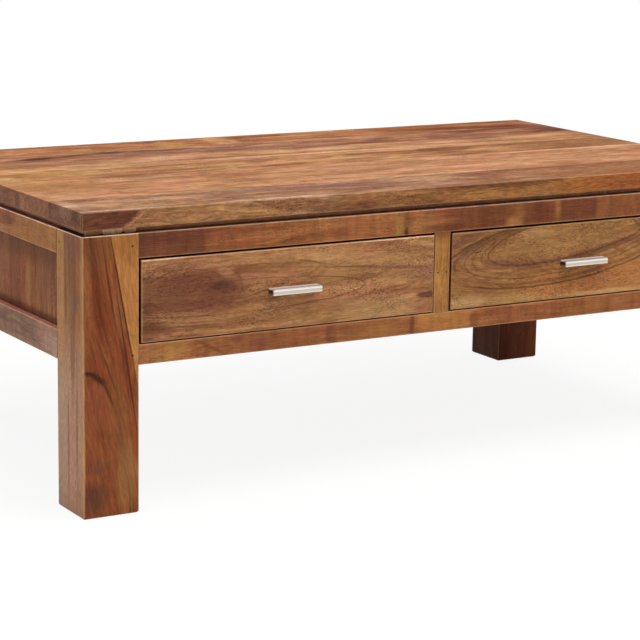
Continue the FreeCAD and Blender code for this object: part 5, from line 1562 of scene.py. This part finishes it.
@dataclass
class Studio:
    """Pale floor, dim walls with a bright ceiling, and soft lamps."""

    floor_reach: float = 60.0  # metres from the middle to the floor's edge
    floor_colour: str = "#efeeec"
    floor_white: float = 0.9  # share of plain white that the camera sees beside the table
    shade_near: float = 0.7  # metres from the middle where the floor's shading starts to fade
    shade_far: float = 1.9  # metres from the middle where it has faded to white
    wall: float = 0.06  # level of the walls' light
    ceiling: float = 1.2  # level of the ceiling's light
    wall_top: float = 0.3  # sine of the height where the dim walls end
    key_power: float = 115.0  # watts
    key_place: Triple = (0.6, -1.5, 3.6)  # metres
    key_size: float = 2.2  # metres
    fill_power: float = 22.0  # watts
    fill_place: Triple = (-3.2, -0.6, 1.6)  # metres
    fill_size: float = 2.0  # metres
    aim: Triple = (0.0, 0.0, 0.25)  # metres, where both lamps point

    def lamp(self, name: str, place: Triple, size: float, power: float) -> None:
        """Add one square soft lamp that faces the table.

        Args:
            name: the lamp's name.
            place: its place in metres.
            size: its side in metres.
            power: its power in watts.
        """
        light = bpy.data.lights.new(name, "AREA")
        light.shape = "SQUARE"
        light.size = size
        light.energy = power
        lamp = bpy.data.objects.new(name, light)
        lamp.location = place
        lamp.rotation_euler = (Vector(self.aim) - Vector(place)).to_track_quat("-Z", "Y").to_euler()
        bpy.context.scene.collection.objects.link(lamp)

    def paper(self) -> bpy.types.Material:
        """Make the floor's finish: matt paper, white to the camera but still shaded near the table.

        Returns:
            The new material.
        """
        material = new_material("matt_paper")
        tree = material.node_tree
        paths = add_node(tree, "LightPath").outputs
        inputs = {0: paths["Is Camera Ray"], 1: paths["Is Glossy Ray"]}
        seen = add_node(tree, "Math", inputs, operation="MAXIMUM")
        inputs = {0: seen.outputs[0], 1: paths["Is Transmission Ray"]}
        seen = add_node(tree, "Math", inputs, operation="MAXIMUM")
        place = add_node(tree, "TexCoord").outputs["Object"]
        away = add_node(tree, "VectorMath", {0: place}, operation="LENGTH").outputs[1]
        inputs = {"Value": away, "From Min": self.shade_near, "From Max": self.shade_far,
                  "To Min": self.floor_white, "To Max": 1.0}
        clean = add_node(tree, "MapRange", inputs, interpolation_type="SMOOTHSTEP").outputs[0]
        share = add_node(tree, "Math", {0: seen.outputs[0], 1: clean}, operation="MULTIPLY")
        paper = add_node(tree, "BsdfDiffuse", {"Color": linear(self.floor_colour)})
        white = add_node(tree, "Emission", {"Strength": 1.0})
        inputs = {0: share.outputs[0], 1: paper.outputs[0], 2: white.outputs[0]}
        shader = add_node(tree, "MixShader", inputs)
        add_node(tree, "OutputMaterial", {0: shader.outputs[0]})
        return material

    def floor(self) -> None:
        """Lay the floor."""
        reach = self.floor_reach
        mesh = bpy.data.meshes.new("floor")
        corners = [(-reach, -reach, 0.0), (reach, -reach, 0.0), (reach, reach, 0.0), (-reach, reach, 0.0)]
        mesh.from_pydata(corners, [], [(0, 1, 2, 3)])
        mesh.materials.append(self.paper())
        floor = bpy.data.objects.new("floor", mesh)
        bpy.context.scene.collection.objects.link(floor)

    def world(self) -> None:
        """Surround the table with soft light that grows from the walls to the ceiling."""
        world = bpy.data.worlds.new("surround")
        world.use_nodes = True
        tree = world.node_tree
        tree.nodes.clear()
        way = add_node(tree, "TexCoord").outputs["Generated"]
        height = add_node(tree, "SeparateXYZ", {0: way}).outputs[2]
        inputs = {"Value": height, "From Min": self.wall_top, "To Min": self.wall, "To Max": self.ceiling}
        level = add_node(tree, "MapRange", inputs).outputs[0]
        light = add_node(tree, "Background", {"Color": (1.0, 1.0, 1.0, 1.0), "Strength": level})
        add_node(tree, "OutputWorld", {0: light.outputs[0]})
        bpy.context.scene.world = world

    def build(self) -> None:
        """Set the view transform, the surround, the floor and the lamps."""
        bpy.context.scene.view_settings.view_transform = "Standard"
        self.world()
        self.floor()
        self.lamp("key", self.key_place, self.key_size, self.key_power)
        self.lamp("fill", self.fill_place, self.fill_size, self.fill_power)


@dataclass
class PhotoCamera:
    """The camera at the photograph's viewing angle, worked out from the table's corners."""

    place: Triple = (-1.71844, -2.85295, 0.86482)  # metres
    yaw: float = 30.718  # degrees to the right of straight ahead
    pitch: float = 11.962  # degrees downward
    roll: float = 0.955  # degrees by which its right side is raised
    lens: float = 126.01  # millimetres
    sensor: float = 36.0  # millimetres

    def build(self) -> None:
        """Add the camera and make it the scene's own."""
        yaw, pitch, roll = (math.radians(a) for a in (self.yaw, self.pitch, self.roll))
        ahead = Vector((math.sin(yaw) * math.cos(pitch), math.cos(yaw) * math.cos(pitch), -math.sin(pitch)))
        right = Vector((math.cos(yaw), -math.sin(yaw), 0.0))
        up = right.cross(ahead)
        side = math.cos(roll) * right + math.sin(roll) * up
        top = -math.sin(roll) * right + math.cos(roll) * up
        data = bpy.data.cameras.new("photo_camera")
        data.sensor_fit = "HORIZONTAL"
        data.sensor_width = self.sensor
        data.lens = self.lens
        camera = bpy.data.objects.new("photo_camera", data)
        turn = Matrix((side, top, -ahead)).transposed().to_4x4()
        camera.matrix_world = Matrix.Translation(self.place) @ turn
        bpy.context.scene.collection.objects.link(camera)
        bpy.context.scene.camera = camera


def main() -> None:
    """Build the studio and finish the table, one sub-assembly after another."""
    logging.basicConfig(level=logging.INFO, format="%(message)s")
    PhotoCamera().build()
    Studio().build()
    TableTop().dress()
    CaseFrame().dress()
    Panels().dress()
    DrawerSupports().dress()
    aluminium = BlastedAluminium().material()
    for drawer in (left_drawer(), right_drawer()):
        drawer.dress(aluminium)
    Fasteners().dress()


if __name__ == "__main__":
    main()
